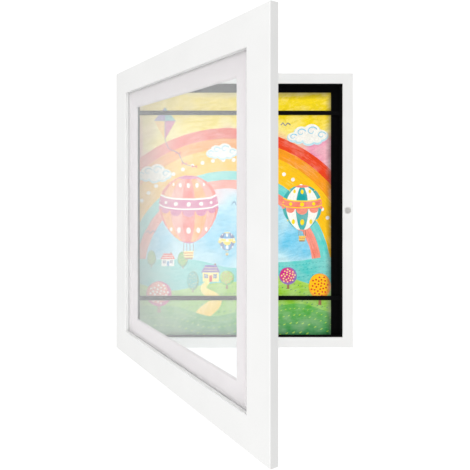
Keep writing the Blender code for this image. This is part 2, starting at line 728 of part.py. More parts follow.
def sawtooth_hanger():
    """A stamped strip whose toothed middle stands off between two flat feet, with Z up and Y outwards."""
    bm = bmesh.new()
    top = HANGER_HEIGHT / 2
    rows = [
        (bm.verts.new((x, stand, low)), bm.verts.new((x, stand, top)))
        for x, stand, low in hanger_outline()
    ]
    faces = [bm.faces.new((a[0], b[0], b[1], a[1])) for a, b in zip(rows, rows[1:])]
    made = bmesh.ops.extrude_face_region(bm, geom=faces)["geom"]
    far = [item for item in made if isinstance(item, bmesh.types.BMVert)]
    bmesh.ops.translate(bm, vec=(0.0, HANGER_THICKNESS, 0.0), verts=far)
    bmesh.ops.recalc_face_normals(bm, faces=bm.faces)
    tools = []
    for x in nail_places():
        hole = rod(NAIL_SHANK_RADIUS + SEAT_GAP, -HANGER_THICKNESS - CUT_OVERRUN, CUT_OVERRUN)
        tools.append(("DIFFERENCE", shift(turn(hole, -RIGHT_ANGLE, "X"), (x, 0.0, 0.0))))
    return combine("sawtooth_hanger", bm, tools)


def nail_places():
    """Where the nails go along a hanger: the middle of each foot."""
    place_x = HANGER_LENGTH / 2 - HANGER_FOOT / 2
    return (-place_x, place_x)


def build_hangers(materials, members, carrier):
    """A hanger on the top rail and one on the hinge stile, each on two nails, and two bumpers."""
    hanger = sawtooth_hanger()
    nail = to_mesh(hanger_nail(), "hanger_nail")
    middle = RAIL_BACK_WIDTH / 2
    spots = (
        ("hanger_top", "top", Vector((0.0, 0.0, BOX_HEIGHT / 2 - middle)), 0.0),
        ("hanger_side", "left", Vector((middle - BOX_WIDTH / 2, 0.0, 0.0)), -RIGHT_ANGLE),
    )
    number = 0
    for name, side, spot, angle in spots:
        foot = spot + Vector((0.0, SEAT_GAP, 0.0))
        place(name, hanger, materials["steel"], carrier, foot, (0.0, angle, 0.0))
        for x in nail_places():
            number += 1
            along = Matrix.Rotation(angle, 3, "Y") @ Vector((x, 0.0, 0.0))
            head = foot + along + Vector((0.0, HANGER_THICKNESS + SEAT_GAP, 0.0))
            turns = (-RIGHT_ANGLE, 0.0, 0.0)
            place(f"hanger_nail_{number}", nail, materials["steel"], carrier, head, turns)
            hole = screw_hole(NAIL_SHANK_RADIUS, NAIL_LENGTH)
            cut(members[side], hole, f"nail_hole_{number}", head, turns)


def hanger_nail():
    """A small nail whose flat head stands on Z = 0."""
    tip = NAIL_SHANK_RADIUS * TIP_LENGTH_SHARE
    profile = [(0.0, -NAIL_LENGTH), (NAIL_SHANK_RADIUS, tip - NAIL_LENGTH), (NAIL_SHANK_RADIUS, 0.0)]
    profile += [(NAIL_HEAD_RADIUS, 0.0), (NAIL_HEAD_RADIUS, NAIL_HEAD_HEIGHT), (0.0, NAIL_HEAD_HEIGHT)]
    return turned(profile, SMALL_FACETS)


def build_bumpers(materials, carrier):
    """Two soft bumpers behind the lower rail, as thick as the hangers stand off."""
    height = HANGER_RAISE + HANGER_THICKNESS
    rim = height * BUMPER_RIM_SHARE
    profile = [(0.0, 0.0), (BUMPER_RADIUS, 0.0), (BUMPER_RADIUS, rim)]
    profile += [(BUMPER_RADIUS * DOME_RADIUS_SHARE, height), (0.0, height)]
    mesh = to_mesh(turned(profile, FINE_FACETS), "wall_bumper")
    rise = RAIL_BACK_WIDTH / 2 - BOX_HEIGHT / 2
    for side, direction in (("left", -1), ("right", 1)):
        spot = (direction * (BOX_WIDTH / 2 - BUMPER_INSET), SEAT_GAP, rise)
        name = "wall_bumper_" + side
        place(name, mesh, materials["rubber"], carrier, spot, (-RIGHT_ANGLE, 0.0, 0.0))


# Door


def on_door(x, depth, z):
    """A place on the closed door, by its depth behind the door's front, in the door's coordinates."""
    return Vector((x, DOOR_FRONT + depth, z)) - HINGE_AXIS


def build_door(materials, carrier):
    """The four mitred members of the door, cut for the hinges, the buttons' screws and the strike."""
    profile = rebated_profile(
        DOOR_MEMBER_WIDTH, DOOR_REBATE_WIDTH, DOOR_LIP, DOOR_THICKNESS, DOOR_EDGE_EASE
    )
    names = {
        "bottom": "door_rail_bottom",
        "left": "door_stile_hinge",
        "top": "door_rail_top",
        "right": "door_stile_free",
    }
    centre = on_door(DOOR_CENTRE_X, 0.0, 0.0)
    members = frame_members(
        names, profile, DOOR_WIDTH, DOOR_HEIGHT, centre, materials["lacquer"], carrier
    )
    cut_hinge_seats(members["left"], -1)
    return members


def build_glazing(materials, carrier):
    """The clear pane and, behind it, the mat with its bevelled opening."""
    half = Vector((GLAZING_WIDTH / 2, 0.0, GLAZING_HEIGHT / 2))
    front = on_door(DOOR_CENTRE_X, PANE_FRONT, 0.0)
    back = on_door(DOOR_CENTRE_X, PANE_BACK, 0.0)
    pane = to_mesh(block(front - half, back + half), "acrylic_pane")
    place("acrylic_pane", pane, materials["acrylic"], carrier)
    front = on_door(DOOR_CENTRE_X, MAT_FRONT, 0.0)
    back = on_door(DOOR_CENTRE_X, MAT_BACK, 0.0)
    board = combine(
        "mat_board", block(front - half, back + half), [("DIFFERENCE", mat_opening(front, back))]
    )
    place("mat_board", board, materials["card"], carrier)


def mat_opening(front, back):
    """The cutter for the mat's opening, which is wider at the front by a 45 degree bevel."""
    half = Vector((MAT_APERTURE_WIDTH / 2, 0.0, MAT_APERTURE_HEIGHT / 2))
    over = Vector((0.0, CUT_OVERRUN, 0.0))
    bm = block(front - over - half, back + over + half)
    middle = (front + back) / 2
    slope = MAT_THICKNESS + CUT_OVERRUN
    for vert in bm.verts:
        out = -CUT_OVERRUN if vert.co.y > middle.y else slope
        vert.co.x += math.copysign(out, vert.co.x - middle.x)
        vert.co.z += math.copysign(out, vert.co.z - middle.z)
    return bm


# Turn buttons


def turn_button():
    """A flat tapered button with its pivot hole on the origin and its tip towards +X."""
    lean = math.acos((BUTTON_HUB_RADIUS - BUTTON_TIP_RADIUS) / BUTTON_REACH)
    outline = arc(0.0, 0.0, BUTTON_HUB_RADIUS, lean, math.tau - lean, SMALL_FACETS)
    outline += arc(BUTTON_REACH, 0.0, BUTTON_TIP_RADIUS, -lean, lean, SMALL_FACETS // 2)
    hole = rod(BUTTON_SCREW_SHANK_RADIUS + SEAT_GAP, -CUT_OVERRUN, BUTTON_THICKNESS + CUT_OVERRUN)
    return combine(
        "turn_button",
        extruded(outline, 0.0, BUTTON_THICKNESS),
        [("DIFFERENCE", turn(hole, -RIGHT_ANGLE, "X"))],
    )


def build_buttons(materials, members, carrier):
    """A turn button in the middle of each door member, each on its own screw."""
    button = turn_button()
    screw = to_mesh(
        pan_screw(
            BUTTON_SCREW_HEAD_RADIUS,
            BUTTON_SCREW_HEAD_HEIGHT,
            BUTTON_SCREW_SHANK_RADIUS,
            BUTTON_SCREW_LENGTH + BUTTON_THICKNESS + 2 * SEAT_GAP,
        ),
        "turn_screw",
    )
    places = {"left": "hinge_side", "right": "free_side", "top": "top", "bottom": "bottom"}
    middle = on_door(DOOR_CENTRE_X, DOOR_THICKNESS + SEAT_GAP, 0.0)
    lift = Vector((0.0, BUTTON_THICKNESS + SEAT_GAP, 0.0))
    for side, turns in TURN_COUNTS.items():
        across = DOOR_HEIGHT if turns % 2 == 0 else DOOR_WIDTH
        inset = Vector((0.0, 0.0, BUTTON_INSET - across / 2))
        pivot = middle + Matrix.Rotation(turns * RIGHT_ANGLE, 3, "Y") @ inset
        angle = (turns - 1) * RIGHT_ANGLE
        name = "turn_button_" + places[side]
        place(name, button, materials["steel"], carrier, pivot, (0.0, angle, 0.0))
        head = pivot + lift
        upright = (-RIGHT_ANGLE, 0.0, 0.0)
        place("turn_screw_" + places[side], screw, materials["steel"], carrier, head, upright)
        hole = screw_hole(BUTTON_SCREW_SHANK_RADIUS, BUTTON_SCREW_LENGTH + BUTTON_THICKNESS + 2 * SEAT_GAP)
        cut(members[side], hole, f"turn_hole_{side}", head, upright)


def build_strike(materials, members, carrier):
    """The steel screw that meets the magnet, flush in the back of the door's free stile."""
    spot = on_door(MAGNET_X, DOOR_THICKNESS, 0.0)
    upright = (-RIGHT_ANGLE, 0.0, 0.0)
    screw = flat_screw(STRIKE_HEAD_RADIUS, STRIKE_HEAD_DEPTH, STRIKE_SHANK_RADIUS, STRIKE_LENGTH)
    place("strike_screw", to_mesh(screw, "strike_screw"), materials["steel"], carrier, spot, upright)
    hole = sunk_hole(STRIKE_HEAD_RADIUS, STRIKE_HEAD_DEPTH, STRIKE_SHANK_RADIUS, STRIKE_LENGTH)
    cut(members["right"], hole, "strike_hole", spot, upright)


def build_materials():
    """The finishes, as (linear colour, roughness, metallic) values."""
    return {
        "lacquer": new_material("white lacquered fibreboard", (0.88, 0.88, 0.88), 0.35),
        "fibreboard": new_material("raw fibreboard", (0.34, 0.21, 0.12), 0.85),
        "felt": new_material("black felt", (0.006, 0.006, 0.007), 0.95),
        "elastic": new_material("black woven elastic", (0.008, 0.008, 0.009), 0.7),
        "paper": new_material("painted drawing paper", (0.42, 0.62, 0.72), 0.8),
        "magnet": new_material("nickel plated magnet", (0.5, 0.5, 0.5), 0.35, 1.0),
        "steel": new_material("zinc plated steel", (0.6, 0.6, 0.6), 0.3, 1.0),
        "acrylic": new_material("clear acrylic", (0.9, 0.95, 0.95), 0.05, 0.0, 0.25),
        "card": new_material("white mat board", (0.82, 0.79, 0.8), 0.9),
        "rubber": new_material("grey rubber", (0.12, 0.12, 0.12), 0.8),
    }


def main():
    """Build the whole frame, with the door at its resting angle."""
    clear_scene()
    pieces = new_collection("childrens_art_frame")
    new_collection("cutters")
    materials = build_materials()
    box = new_empty("box", pieces, (0.0, 0.0, 0.0))
    door = new_empty("door_swing_axis", pieces, HINGE_AXIS)
    box_members = build_box(materials, box)
    build_back(materials, box_members, box)
    build_liners(materials, box)
    build_sheet(materials, box)
    build_straps(materials, box)
    build_magnet(materials, box)
    build_hangers(materials, box_members, box)
    build_bumpers(materials, box)
    door_members = build_door(materials, door)
    build_glazing(materials, door)
    build_hinges(materials, box, door)
    build_buttons(materials, door_members, door)
    build_strike(materials, door_members, door)
    door.rotation_euler = (0.0, 0.0, -DOOR_REST_ANGLE)


main()
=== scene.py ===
"""Looks of a childrens art frame that opens at the front: a shallow wall box and a glazed, matted door.

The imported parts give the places. Lengths are metres, and MM turns millimetres into them.
Seen from the front, X runs to the right, Z up and Y towards the wall, and the door rests part way open.
"""

import functools
import json
import logging
import math
from dataclasses import dataclass
from enum import Enum
from typing import Iterable, Sequence

import bmesh
import bpy
from bmesh.types import BMEdge, BMesh, BMFace, BMVert
from bpy.types import Material, Mesh, Node, NodeSocket, NodeTree, Object
from mathutils import Matrix, Vector, geometry, noise


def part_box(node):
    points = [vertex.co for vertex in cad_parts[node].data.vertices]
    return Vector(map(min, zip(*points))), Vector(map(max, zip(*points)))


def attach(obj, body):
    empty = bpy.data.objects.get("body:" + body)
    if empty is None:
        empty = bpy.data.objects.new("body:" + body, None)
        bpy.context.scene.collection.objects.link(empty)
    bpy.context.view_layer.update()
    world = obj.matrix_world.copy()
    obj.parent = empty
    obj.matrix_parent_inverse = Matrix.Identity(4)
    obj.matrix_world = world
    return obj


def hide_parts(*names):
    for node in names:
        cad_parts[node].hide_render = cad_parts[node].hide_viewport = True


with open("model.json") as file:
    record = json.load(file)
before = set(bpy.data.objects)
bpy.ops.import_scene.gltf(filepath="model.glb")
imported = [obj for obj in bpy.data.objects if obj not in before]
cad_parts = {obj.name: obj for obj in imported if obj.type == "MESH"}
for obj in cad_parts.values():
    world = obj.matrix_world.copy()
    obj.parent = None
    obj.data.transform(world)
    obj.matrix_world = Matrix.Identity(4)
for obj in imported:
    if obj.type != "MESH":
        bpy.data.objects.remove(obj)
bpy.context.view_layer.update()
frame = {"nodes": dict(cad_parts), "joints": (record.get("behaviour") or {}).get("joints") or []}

LOG = logging.getLogger("art_frame")
MM = 0.001
RIGHT_ANGLE = math.radians(90.0)
SMOOTH_ANGLE = math.radians(35.0)   # edges that bend less are shaded smooth
ROUND_ANGLE = math.radians(60.0)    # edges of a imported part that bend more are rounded
FLAT_ANGLE = math.radians(0.5)      # faces that bend less are one flat face
WELD = 0.0005 * MM
OVERRUN = 1.0 * MM                  # how far a cutter reaches past the surface
SEAT_FIT = 0.08 * MM                # the play between a part and its seat
NOISE_MIDDLE = (0.3, 0.7)           # where nearly all of a noise's values lie
GOLDEN_ANGLE = 2.4                  # near enough, in radians
LEVELS = ("upper", "lower")
IN_PLACE = Matrix.Identity(4)

Point = tuple[float, float]
Corners = tuple[Vector, Vector]
Colour = tuple[float, float, float, float]


class Side(Enum):
    """The sides of a frame, each the bottom one turned by so many right angles about Y."""

    BOTTOM = 0
    LEFT = 1
    TOP = 2
    RIGHT = 3

    @property
    def turn(self) -> Matrix:
        """The turn that brings the bottom side here."""
        return Matrix.Rotation(self.value * RIGHT_ANGLE, 4, "Y")

    @property
    def level(self) -> bool:
        """Whether the side lies level."""
        return self.value % 2 == 0


# Colours and nodes


def linear(code: str) -> Colour:
    """Turn an sRGB hex colour into a linear one.

    Args:
        code: six hex digits after a #.

    Returns:
        Red, green, blue and an alpha of 1.
    """
    parts = [int(code[place:place + 2], 16) / 255 for place in (1, 3, 5)]
    red, green, blue = [p / 12.92 if p <= 0.04045 else ((p + 0.055) / 1.055) ** 2.4 for p in parts]
    return red, green, blue, 1.0


def feed(tree: NodeTree, socket: NodeSocket, value: NodeSocket | float | Colour) -> None:
    """Link a socket to another one, or set it to a plain value."""
    if isinstance(value, NodeSocket):
        tree.links.new(value, socket)
    else:
        socket.default_value = value


def add_node(tree: NodeTree, kind: str, settings: dict | None = None, **inputs) -> Node:
    """Add a node with its settings and its inputs.

    Args:
        tree: the node tree.
        kind: the node's type name.
        settings: the node's own properties.
        inputs: for each input, with _ for a space in its name or in_N for its number, a value or a socket.

    Returns:
        The node.
    """
    node = tree.nodes.new(kind)
    for name, value in (settings or {}).items():
        setattr(node, name, value)
    for name, value in inputs.items():
        feed(tree, node.inputs[int(name[3:]) if name.startswith("in_") else name.replace("_", " ")], value)
    return node


class Finish:
    """A finish that dresses the Principled shader of a new material."""

    name: str

    def dress(self, tree: NodeTree, shader: Node) -> None:
        """Set the shader's sockets and add the nodes that feed it."""
        raise NotImplementedError

    def pattern(self, tree: NodeTree, size: float, detail: float = 2.0) -> NodeSocket:
        """Add an even noise of a real size on Object coordinates.

        Args:
            tree: the material's node tree.
            size: the width of a blotch, in metres.
            detail: how many finer layers it has.

        Returns:
            The noise's value, from 0 to 1.
        """
        place = add_node(tree, "ShaderNodeTexCoord").outputs["Object"]
        return add_node(tree, "ShaderNodeTexNoise", Vector=place, Scale=1 / size, Detail=detail).outputs[0]

    def spread(self, tree: NodeTree, value: NodeSocket, low: float, high: float) -> NodeSocket:
        """Stretch a noise's middle range over low to high."""
        least, most = NOISE_MIDDLE
        node = add_node(tree, "ShaderNodeMapRange", in_0=value, in_1=least, in_2=most, in_3=low, in_4=high)
        return node.outputs[0]

    def mix(self, tree: NodeTree, share: NodeSocket, low: NodeSocket | Colour, high: Colour) -> NodeSocket:
        """Mix two colours by a share."""
        node = add_node(tree, "ShaderNodeMix", {"data_type": "RGBA"}, in_0=share, in_6=low, in_7=high)
        return node.outputs[2]

    def blend(self, tree: NodeTree, value: NodeSocket, low: str, high: str) -> NodeSocket:
        """Blend two hex colours by a noise's value."""
        return self.mix(tree, self.spread(tree, value, 0.0, 1.0), linear(low), linear(high))

    def relief(
        self, tree: NodeTree, value: NodeSocket, depth: float, below: NodeSocket | None = None
    ) -> NodeSocket:
        """Raise the surface by a noise's value.

        Args:
            tree: the material's node tree.
            value: the height, from 0 to 1.
            depth: the real height of the relief, in metres.
            below: the normal of a relief that lies under this one.

        Returns:
            The normal.
        """
        inputs = {"Height": value, "Distance": depth}
        if below is not None:
            inputs["Normal"] = below
        return add_node(tree, "ShaderNodeBump", **inputs).outputs[0]


@functools.cache
def material_of(finish: Finish) -> Material:
    """Make a finish's material, once for each finish."""
    material = bpy.data.materials.new(finish.name)
    material.use_nodes = True
    tree = material.node_tree
    finish.dress(tree, tree.nodes["Principled BSDF"])
    return material


def set_sockets(tree: NodeTree, shader: Node, **values) -> None:
    """Set or link a shader's sockets, with _ for a space in a socket's name."""
    for name, value in values.items():
        feed(tree, shader.inputs[name.replace("_", " ")], value)


# Finishes


@dataclass(frozen=True)
class SprayedLacquer(Finish):
    """White polyurethane lacquer, sprayed on fibreboard and left satin.

    It hides the board: the eye gets an even white, a soft broad gloss and a faint orange peel.
    """

    name: str = "satin_white_polyurethane_lacquer"
    peel: float = 2.4 * MM
    peel_depth: float = 0.012 * MM
    cloud: float = 45.0 * MM

    def dress(self, tree: NodeTree, shader: Node) -> None:
        """Dress the shader as sprayed lacquer."""
        cloud = self.pattern(tree, self.cloud)
        peel = self.pattern(tree, self.peel)
        set_sockets(
            tree, shader,
            Base_Color=self.blend(tree, cloud, "#ECECEB", "#EFEFEE"),
            Roughness=self.spread(tree, cloud, 0.36, 0.42),
            IOR=1.5,
            Normal=self.relief(tree, peel, self.peel_depth),
        )


@dataclass(frozen=True)
class Grained(Finish):
    """A matt stuff in two close tones with a fine even grain: paper, felt, rubber or plain paint."""

    name: str
    low: str
    high: str
    grain: float
    grain_depth: float
    detail: float
    roughness: float
    ior: float = 1.45
    gloss: float = 0.5
    sheen: float = 0.0
    sheen_roughness: float = 0.5

    def dress(self, tree: NodeTree, shader: Node) -> None:
        """Dress the shader as the stuff."""
        grain = self.pattern(tree, self.grain, self.detail)
        set_sockets(
            tree, shader,
            Base_Color=self.blend(tree, grain, self.low, self.high),
            Roughness=self.roughness,
            IOR=self.ior,
            Specular_IOR_Level=self.gloss,
            Sheen_Weight=self.sheen,
            Sheen_Roughness=self.sheen_roughness,
            Normal=self.relief(tree, grain, self.grain_depth),
        )


@dataclass(frozen=True)
class WovenElastic(Finish):
    """Black knitted elastic: dull polyester yarn over rubber, with cross threads between its ribs."""

    name: str = "black_woven_elastic"
    thread: float = 0.55 * MM
    thread_depth: float = 0.08 * MM

    def dress(self, tree: NodeTree, shader: Node) -> None:
        """Dress the shader as woven elastic."""
        place = add_node(tree, "ShaderNodeTexCoord").outputs["Object"]
        threads = add_node(
            tree, "ShaderNodeTexWave", {"bands_direction": "X"},
            Vector=place, Scale=1 / (3.2 * self.thread), Distortion=0.6, Detail=1.0,
        ).outputs[1]
        set_sockets(
            tree, shader,
            Base_Color=self.blend(tree, threads, "#040405", "#0C0C0E"),
            Roughness=0.78,
            IOR=1.45,
            Specular_IOR_Level=0.12,
            Normal=self.relief(tree, threads, self.thread_depth),
        )


@dataclass(frozen=True)
class PlatedSteel(Finish):
    """Steel plated with zinc or nickel in a barrel: a soft grey metal with cloudy gloss and small scuffs."""

    name: str = "zinc_plated_steel"
    low: str = "#B4B6B8"
    high: str = "#C9CBCC"
    gloss: float = 0.26
    dull: float = 0.4
    cloud: float = 3.0 * MM
    scuff: float = 0.4 * MM
    scuff_depth: float = 0.006 * MM

    def dress(self, tree: NodeTree, shader: Node) -> None:
        """Dress the shader as plated metal."""
        cloud = self.pattern(tree, self.cloud, 3.0)
        scuff = self.pattern(tree, self.scuff)
        set_sockets(
            tree, shader,
            Base_Color=self.blend(tree, cloud, self.low, self.high),
            Metallic=1.0,
            Roughness=self.spread(tree, cloud, self.gloss, self.dull),
            Normal=self.relief(tree, scuff, self.scuff_depth),
        )


@dataclass(frozen=True)
class Hardboard(Finish):
    """Pressed hardboard: brown wood fibre, smooth and matt, with scattered dark flecks of bark.

    The fibre is really 0.2 mm across, and is drawn coarser so that it shows.
    """

    name: str = "pressed_hardboard"
    fleck: float = 1.3 * MM
    fibre: float = 0.6 * MM
    fleck_depth: float = 0.03 * MM

    def dress(self, tree: NodeTree, shader: Node) -> None:
        """Dress the shader as pressed fibre."""
        fleck = self.pattern(tree, self.fleck, 6.0)
        fibre = self.pattern(tree, self.fibre)
        ground = self.blend(tree, fibre, "#8F6B47", "#A17C55")
        share = self.spread(tree, fleck, -0.8, 0.75)
        set_sockets(
            tree, shader,
            Base_Color=self.mix(tree, share, ground, linear("#5E4229")),
            Roughness=0.72,
            IOR=1.48,
            Normal=self.relief(tree, fibre, self.fleck_depth),
        )


@dataclass(frozen=True)
class CastAcrylic(Finish):
    """Cast acrylic sheet, PMMA: clear, glossy, with a faint film of dust that greys what lies behind it.

    Lamps reach what is behind it, as they do through a thin clear sheet, less what its faces turn back.
    """

    name: str = "clear_cast_acrylic"
    clearness: float = 0.88
    passed_light: str = "#F6F8F8"

    def dress(self, tree: NodeTree, shader: Node) -> None:
        """Dress the shader as a clear sheet that lets shadow rays pass."""
        set_sockets(
            tree, shader,
            Base_Color=linear("#FAFCFC"),
            Roughness=0.02,
            IOR=1.49,
            Transmission_Weight=self.clearness,
        )
        passing = add_node(tree, "ShaderNodeBsdfTransparent", Color=linear(self.passed_light)).outputs[0]
        lamp = add_node(tree, "ShaderNodeLightPath").outputs["Is Shadow Ray"]
        mixed = add_node(tree, "ShaderNodeMixShader", in_0=lamp, in_1=shader.outputs[0], in_2=passing)
        tree.links.new(mixed.outputs[0], tree.nodes["Material Output"].inputs["Surface"])


@dataclass(frozen=True)
class PosterPaint(Finish):
    """Poster paint brushed wet on paper: matt colour that pools, thins to the paper and shows the brush.

    The hues come from the sheet's own paint attribute, and the strokes follow its brush map. The grains
    of pigment in the paper's tooth are really 0.3 mm apart, and are drawn coarser so that they show.
    """

    name: str = "brushed_poster_paint"
    pool: float = 16.0 * MM
    grain: float = 1.4 * MM
    tooth: float = 0.6 * MM
    stroke_depth: float = 0.05 * MM
    paper: str = "#FBF7EC"

    def dress(self, tree: NodeTree, shader: Node) -> None:
        """Dress the shader as paint."""
        paint = add_node(tree, "ShaderNodeAttribute", {"attribute_name": "paint"}).outputs["Color"]
        brush = add_node(tree, "ShaderNodeUVMap", {"uv_map": "brush"}).outputs[0]
        strokes = add_node(
            tree, "ShaderNodeTexNoise", {"noise_dimensions": "2D"},
            Vector=brush, Scale=1.0, Detail=5.0, Roughness=0.6, Distortion=0.9,
        ).outputs[0]
        pool = self.pattern(tree, self.pool, 6.0)
        grain = self.pattern(tree, self.grain, 3.0)
        thinned = self.mix(tree, self.spread(tree, pool, 0.0, 0.2), paint, linear(self.paper))
        stroked = add_node(
            tree, "ShaderNodeHueSaturation",
            Saturation=self.spread(tree, strokes, 1.24, 1.04),
            Value=self.spread(tree, strokes, 0.9, 1.05),
            Color=thinned,
        ).outputs[0]
        grained = add_node(
            tree, "ShaderNodeHueSaturation", Value=self.spread(tree, grain, 0.93, 1.05), Color=stroked
        ).outputs[0]
        tooth = self.relief(tree, self.pattern(tree, self.tooth, 4.0), self.stroke_depth)
        set_sockets(
            tree, shader,
            Base_Color=grained,
            Roughness=self.spread(tree, strokes, 0.62, 0.8),
            IOR=1.48,
            Normal=self.relief(tree, strokes, self.stroke_depth, tooth),
        )


LACQUER = SprayedLacquer()
ZINC = PlatedSteel()
NICKEL = PlatedSteel("nickel_plated_magnet", "#F2F0ED", "#FAF8F6", 0.48, 0.58)
# Black polyester felt, needled and glued to card: matt, with a short nap that greys at its edges
FELT = Grained(
    "black_needled_felt", "#030304", "#09090A", 0.7 * MM, 0.12 * MM, 5.0, 0.95,
    gloss=0.06, sheen=0.01, sheen_roughness=0.6,
)
# Mat board: soft, faintly warm papers with a short pressed fibre, on a solid core
MAT_FACE = Grained("surface_paper_of_mat_board", "#C6BCBE", "#CAC1C3", 0.9 * MM, 0.03 * MM, 4.0, 0.88)
# The core keeps the face's hue, toned darker: painted shade that keeps the lit bevel from showing brighter
# than the face
MAT_CORE_IN_PAINTED_SHADE = Grained("solid_core_of_mat_board", "#BAB1B3", "#C0B8BA", 0.5 * MM, 0.05 * MM, 4.0, 0.88)
MAT_BACKING = Grained("backing_paper_of_mat_board", "#D9D3C7", "#E2DDD2", 1.4 * MM, 0.03 * MM, 4.0, 0.88)
# Heavy cartridge paper: uncoated, off-white, with a slight tooth
CARTRIDGE_PAPER = Grained("heavy_cartridge_paper", "#EFECE4", "#F5F3EC", 0.6 * MM, 0.03 * MM, 4.0, 0.9)
# Moulded grey rubber: dark, even and dull, with a fine moulded grain
RUBBER = Grained("moulded_grey_rubber", "#55565A", "#626368", 0.5 * MM, 0.02 * MM, 2.0, 0.7, ior=1.5)
# Pale floor paint, rolled on
FLOOR_PAINT = Grained("pale_floor_paint", "#EDEDEC", "#F2F2F1", 8.0 * MM, 0.03 * MM, 4.0, 0.88)


# Shapes


def cuboid(low: Vector, high: Vector) -> BMesh:
    """A block between two corners."""
    shape = bmesh.new()
    bmesh.ops.create_cube(shape, size=1.0)
    bmesh.ops.scale(shape, vec=high - low, verts=shape.verts)
    bmesh.ops.translate(shape, vec=(low + high) / 2, verts=shape.verts)
    return shape


def turned(profile: Sequence[Point], steps: int = 32) -> BMesh:
    """Turn a profile about Z.

    Args:
        profile: (radius, height) points from pole to pole.
        steps: the facets of a full turn.

    Returns:
        The closed shape, with its faces pointing out.
    """
    shape = bmesh.new()
    points = [shape.verts.new((radius, 0.0, height)) for radius, height in profile]
    edges = [shape.edges.new(pair) for pair in zip(points, points[1:])]
    bmesh.ops.spin(
        shape, geom=points + edges, cent=(0.0, 0.0, 0.0), axis=(0.0, 0.0, 1.0),
        angle=math.tau, steps=steps, use_merge=True,
    )
    bmesh.ops.remove_doubles(shape, verts=shape.verts, dist=WELD)
    bmesh.ops.recalc_face_normals(shape, faces=shape.faces)
    return shape


def swept(outline: Sequence[Vector], offset: Vector) -> BMesh:
    """Extrude a closed outline straight along an offset, with its faces pointing out."""
    shape = bmesh.new()
    face = shape.faces.new([shape.verts.new(point) for point in outline])
    made = bmesh.ops.extrude_face_region(shape, geom=[face])["geom"]
    bmesh.ops.translate(shape, vec=offset, verts=[v for v in made if isinstance(v, BMVert)])
    bmesh.ops.recalc_face_normals(shape, faces=shape.faces)
    return shape


def ease(shape: BMesh, edges: Iterable[BMEdge], width: float, steps: int) -> None:
    """Round some edges of a shape."""
    bmesh.ops.bevel(
        shape, geom=list(edges), offset=width, offset_type="OFFSET", affect="EDGES",
        segments=steps, profile=0.5, material=-1, clamp_overlap=True,
    )


def sharp_edges(shape: BMesh) -> list[BMEdge]:
    """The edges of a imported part's shape that are sharp enough to be rounded."""
    return [e for e in shape.edges if len(e.link_faces) == 2 and e.calc_face_angle(0.0) > ROUND_ANGLE]


def moved(shape: BMesh, matrix: Matrix) -> BMesh:
    """Place a shape by a matrix, and return it."""
    bmesh.ops.transform(shape, matrix=matrix, verts=shape.verts)
    return shape


def mesh_of(name: str, shape: BMesh) -> Mesh:
    """Write a shape to a mesh, shaded smooth between its sharp edges, and free the shape."""
    mesh = bpy.data.meshes.new(name)
    shape.to_mesh(mesh)
    shape.free()
    mesh.shade_smooth()
    mesh.set_sharp_from_angle(angle=SMOOTH_ANGLE)
    return mesh


def carved(base: BMesh, cutters: Iterable[BMesh]) -> BMesh:
    """Cut shapes out of a base, and return what is left as a new shape."""
    block = bpy.data.objects.new("block", mesh_of("block", base))
    helpers = [block]
    bpy.context.scene.collection.objects.link(block)
    for cutter in cutters:
        tool = bpy.data.objects.new("cutter", mesh_of("cutter", cutter))
        bpy.context.scene.collection.objects.link(tool)
        helpers.append(tool)
        modifier = block.modifiers.new("cut", "BOOLEAN")
        modifier.operation = "DIFFERENCE"
        modifier.object = tool
    graph = bpy.context.evaluated_depsgraph_get()
    result = bmesh.new()
    result.from_object(block, graph)
    for helper in helpers:
        bpy.data.objects.remove(helper)
    return result


def copied(node: str) -> BMesh:
    """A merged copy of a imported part's mesh, with its flat faces whole again."""
    shape = bmesh.new()
    shape.from_mesh(frame["nodes"][node].data)
    bmesh.ops.remove_doubles(shape, verts=shape.verts, dist=WELD)
    bmesh.ops.dissolve_limit(
        shape, angle_limit=FLAT_ANGLE, verts=shape.verts, edges=shape.edges, use_dissolve_boundaries=False
    )
    return shape


def add_piece(
    name: str, shape: BMesh, finishes: Finish | Sequence[Finish], body: str,
    stands_for: Sequence[str] = (),
) -> Object:
    """Add a finished piece to the scene.

    Args:
        name: the piece's name.
        shape: its shape, in place.
        finishes: its finish, or one for each material number of its faces.
        body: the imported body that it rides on.
        stands_for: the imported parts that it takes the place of.

    Returns:
        The piece's object.
    """
    mesh = mesh_of(name, shape)
    for finish in [finishes] if isinstance(finishes, Finish) else finishes:
        mesh.materials.append(material_of(finish))
    piece = bpy.data.objects.new(name, mesh)
    bpy.context.scene.collection.objects.link(piece)
    shading = piece.modifiers.new("flat_faces_shade_flat", "WEIGHTED_NORMAL")
    shading.keep_sharp = True
    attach(piece, body)
    if stands_for:
        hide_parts(*stands_for)
    LOG.info("%s: %d faces, rides on %s", name, len(mesh.polygons), body)
    return piece


def finish_parts(finish: Finish, *nodes: str) -> None:
    """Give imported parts, whose shape stays, a finish."""
    for node in nodes:
        for slot in frame["nodes"][node].material_slots:
            slot.material = material_of(finish)
        LOG.info("%s: packed part with %s", node, finish.name)


def grown(corners: Corners, margin: float) -> Corners:
    """A box that is larger by a margin all round."""
    spare = Vector((margin, margin, margin))
    return corners[0] - spare, corners[1] + spare


def box_round(points: Iterable[Vector]) -> Corners:
    """The box round some points."""
    axes = list(zip(*points))
    return Vector([min(axis) for axis in axes]), Vector([max(axis) for axis in axes])


def joined(*boxes: Corners) -> Corners:
    """The box round some boxes."""
    return box_round([corner for box in boxes for corner in box])


def standing(corners: Corners, level: float, facing: int) -> Matrix:
    """Bring a shape that was turned about Z to the middle of a box.

    Args:
        corners: the box.
        level: where on Y the shape's Z = 0 comes.
        facing: -1 where the shape's top looks to the front, and 1 where it looks to the wall.

    Returns:
        The move.
    """
    low, high = corners
    centre = Vector(((low.x + high.x) / 2, level, (low.z + high.z) / 2))
    return Matrix.Translation(centre) @ Matrix.Rotation(-facing * RIGHT_ANGLE, 4, "X")


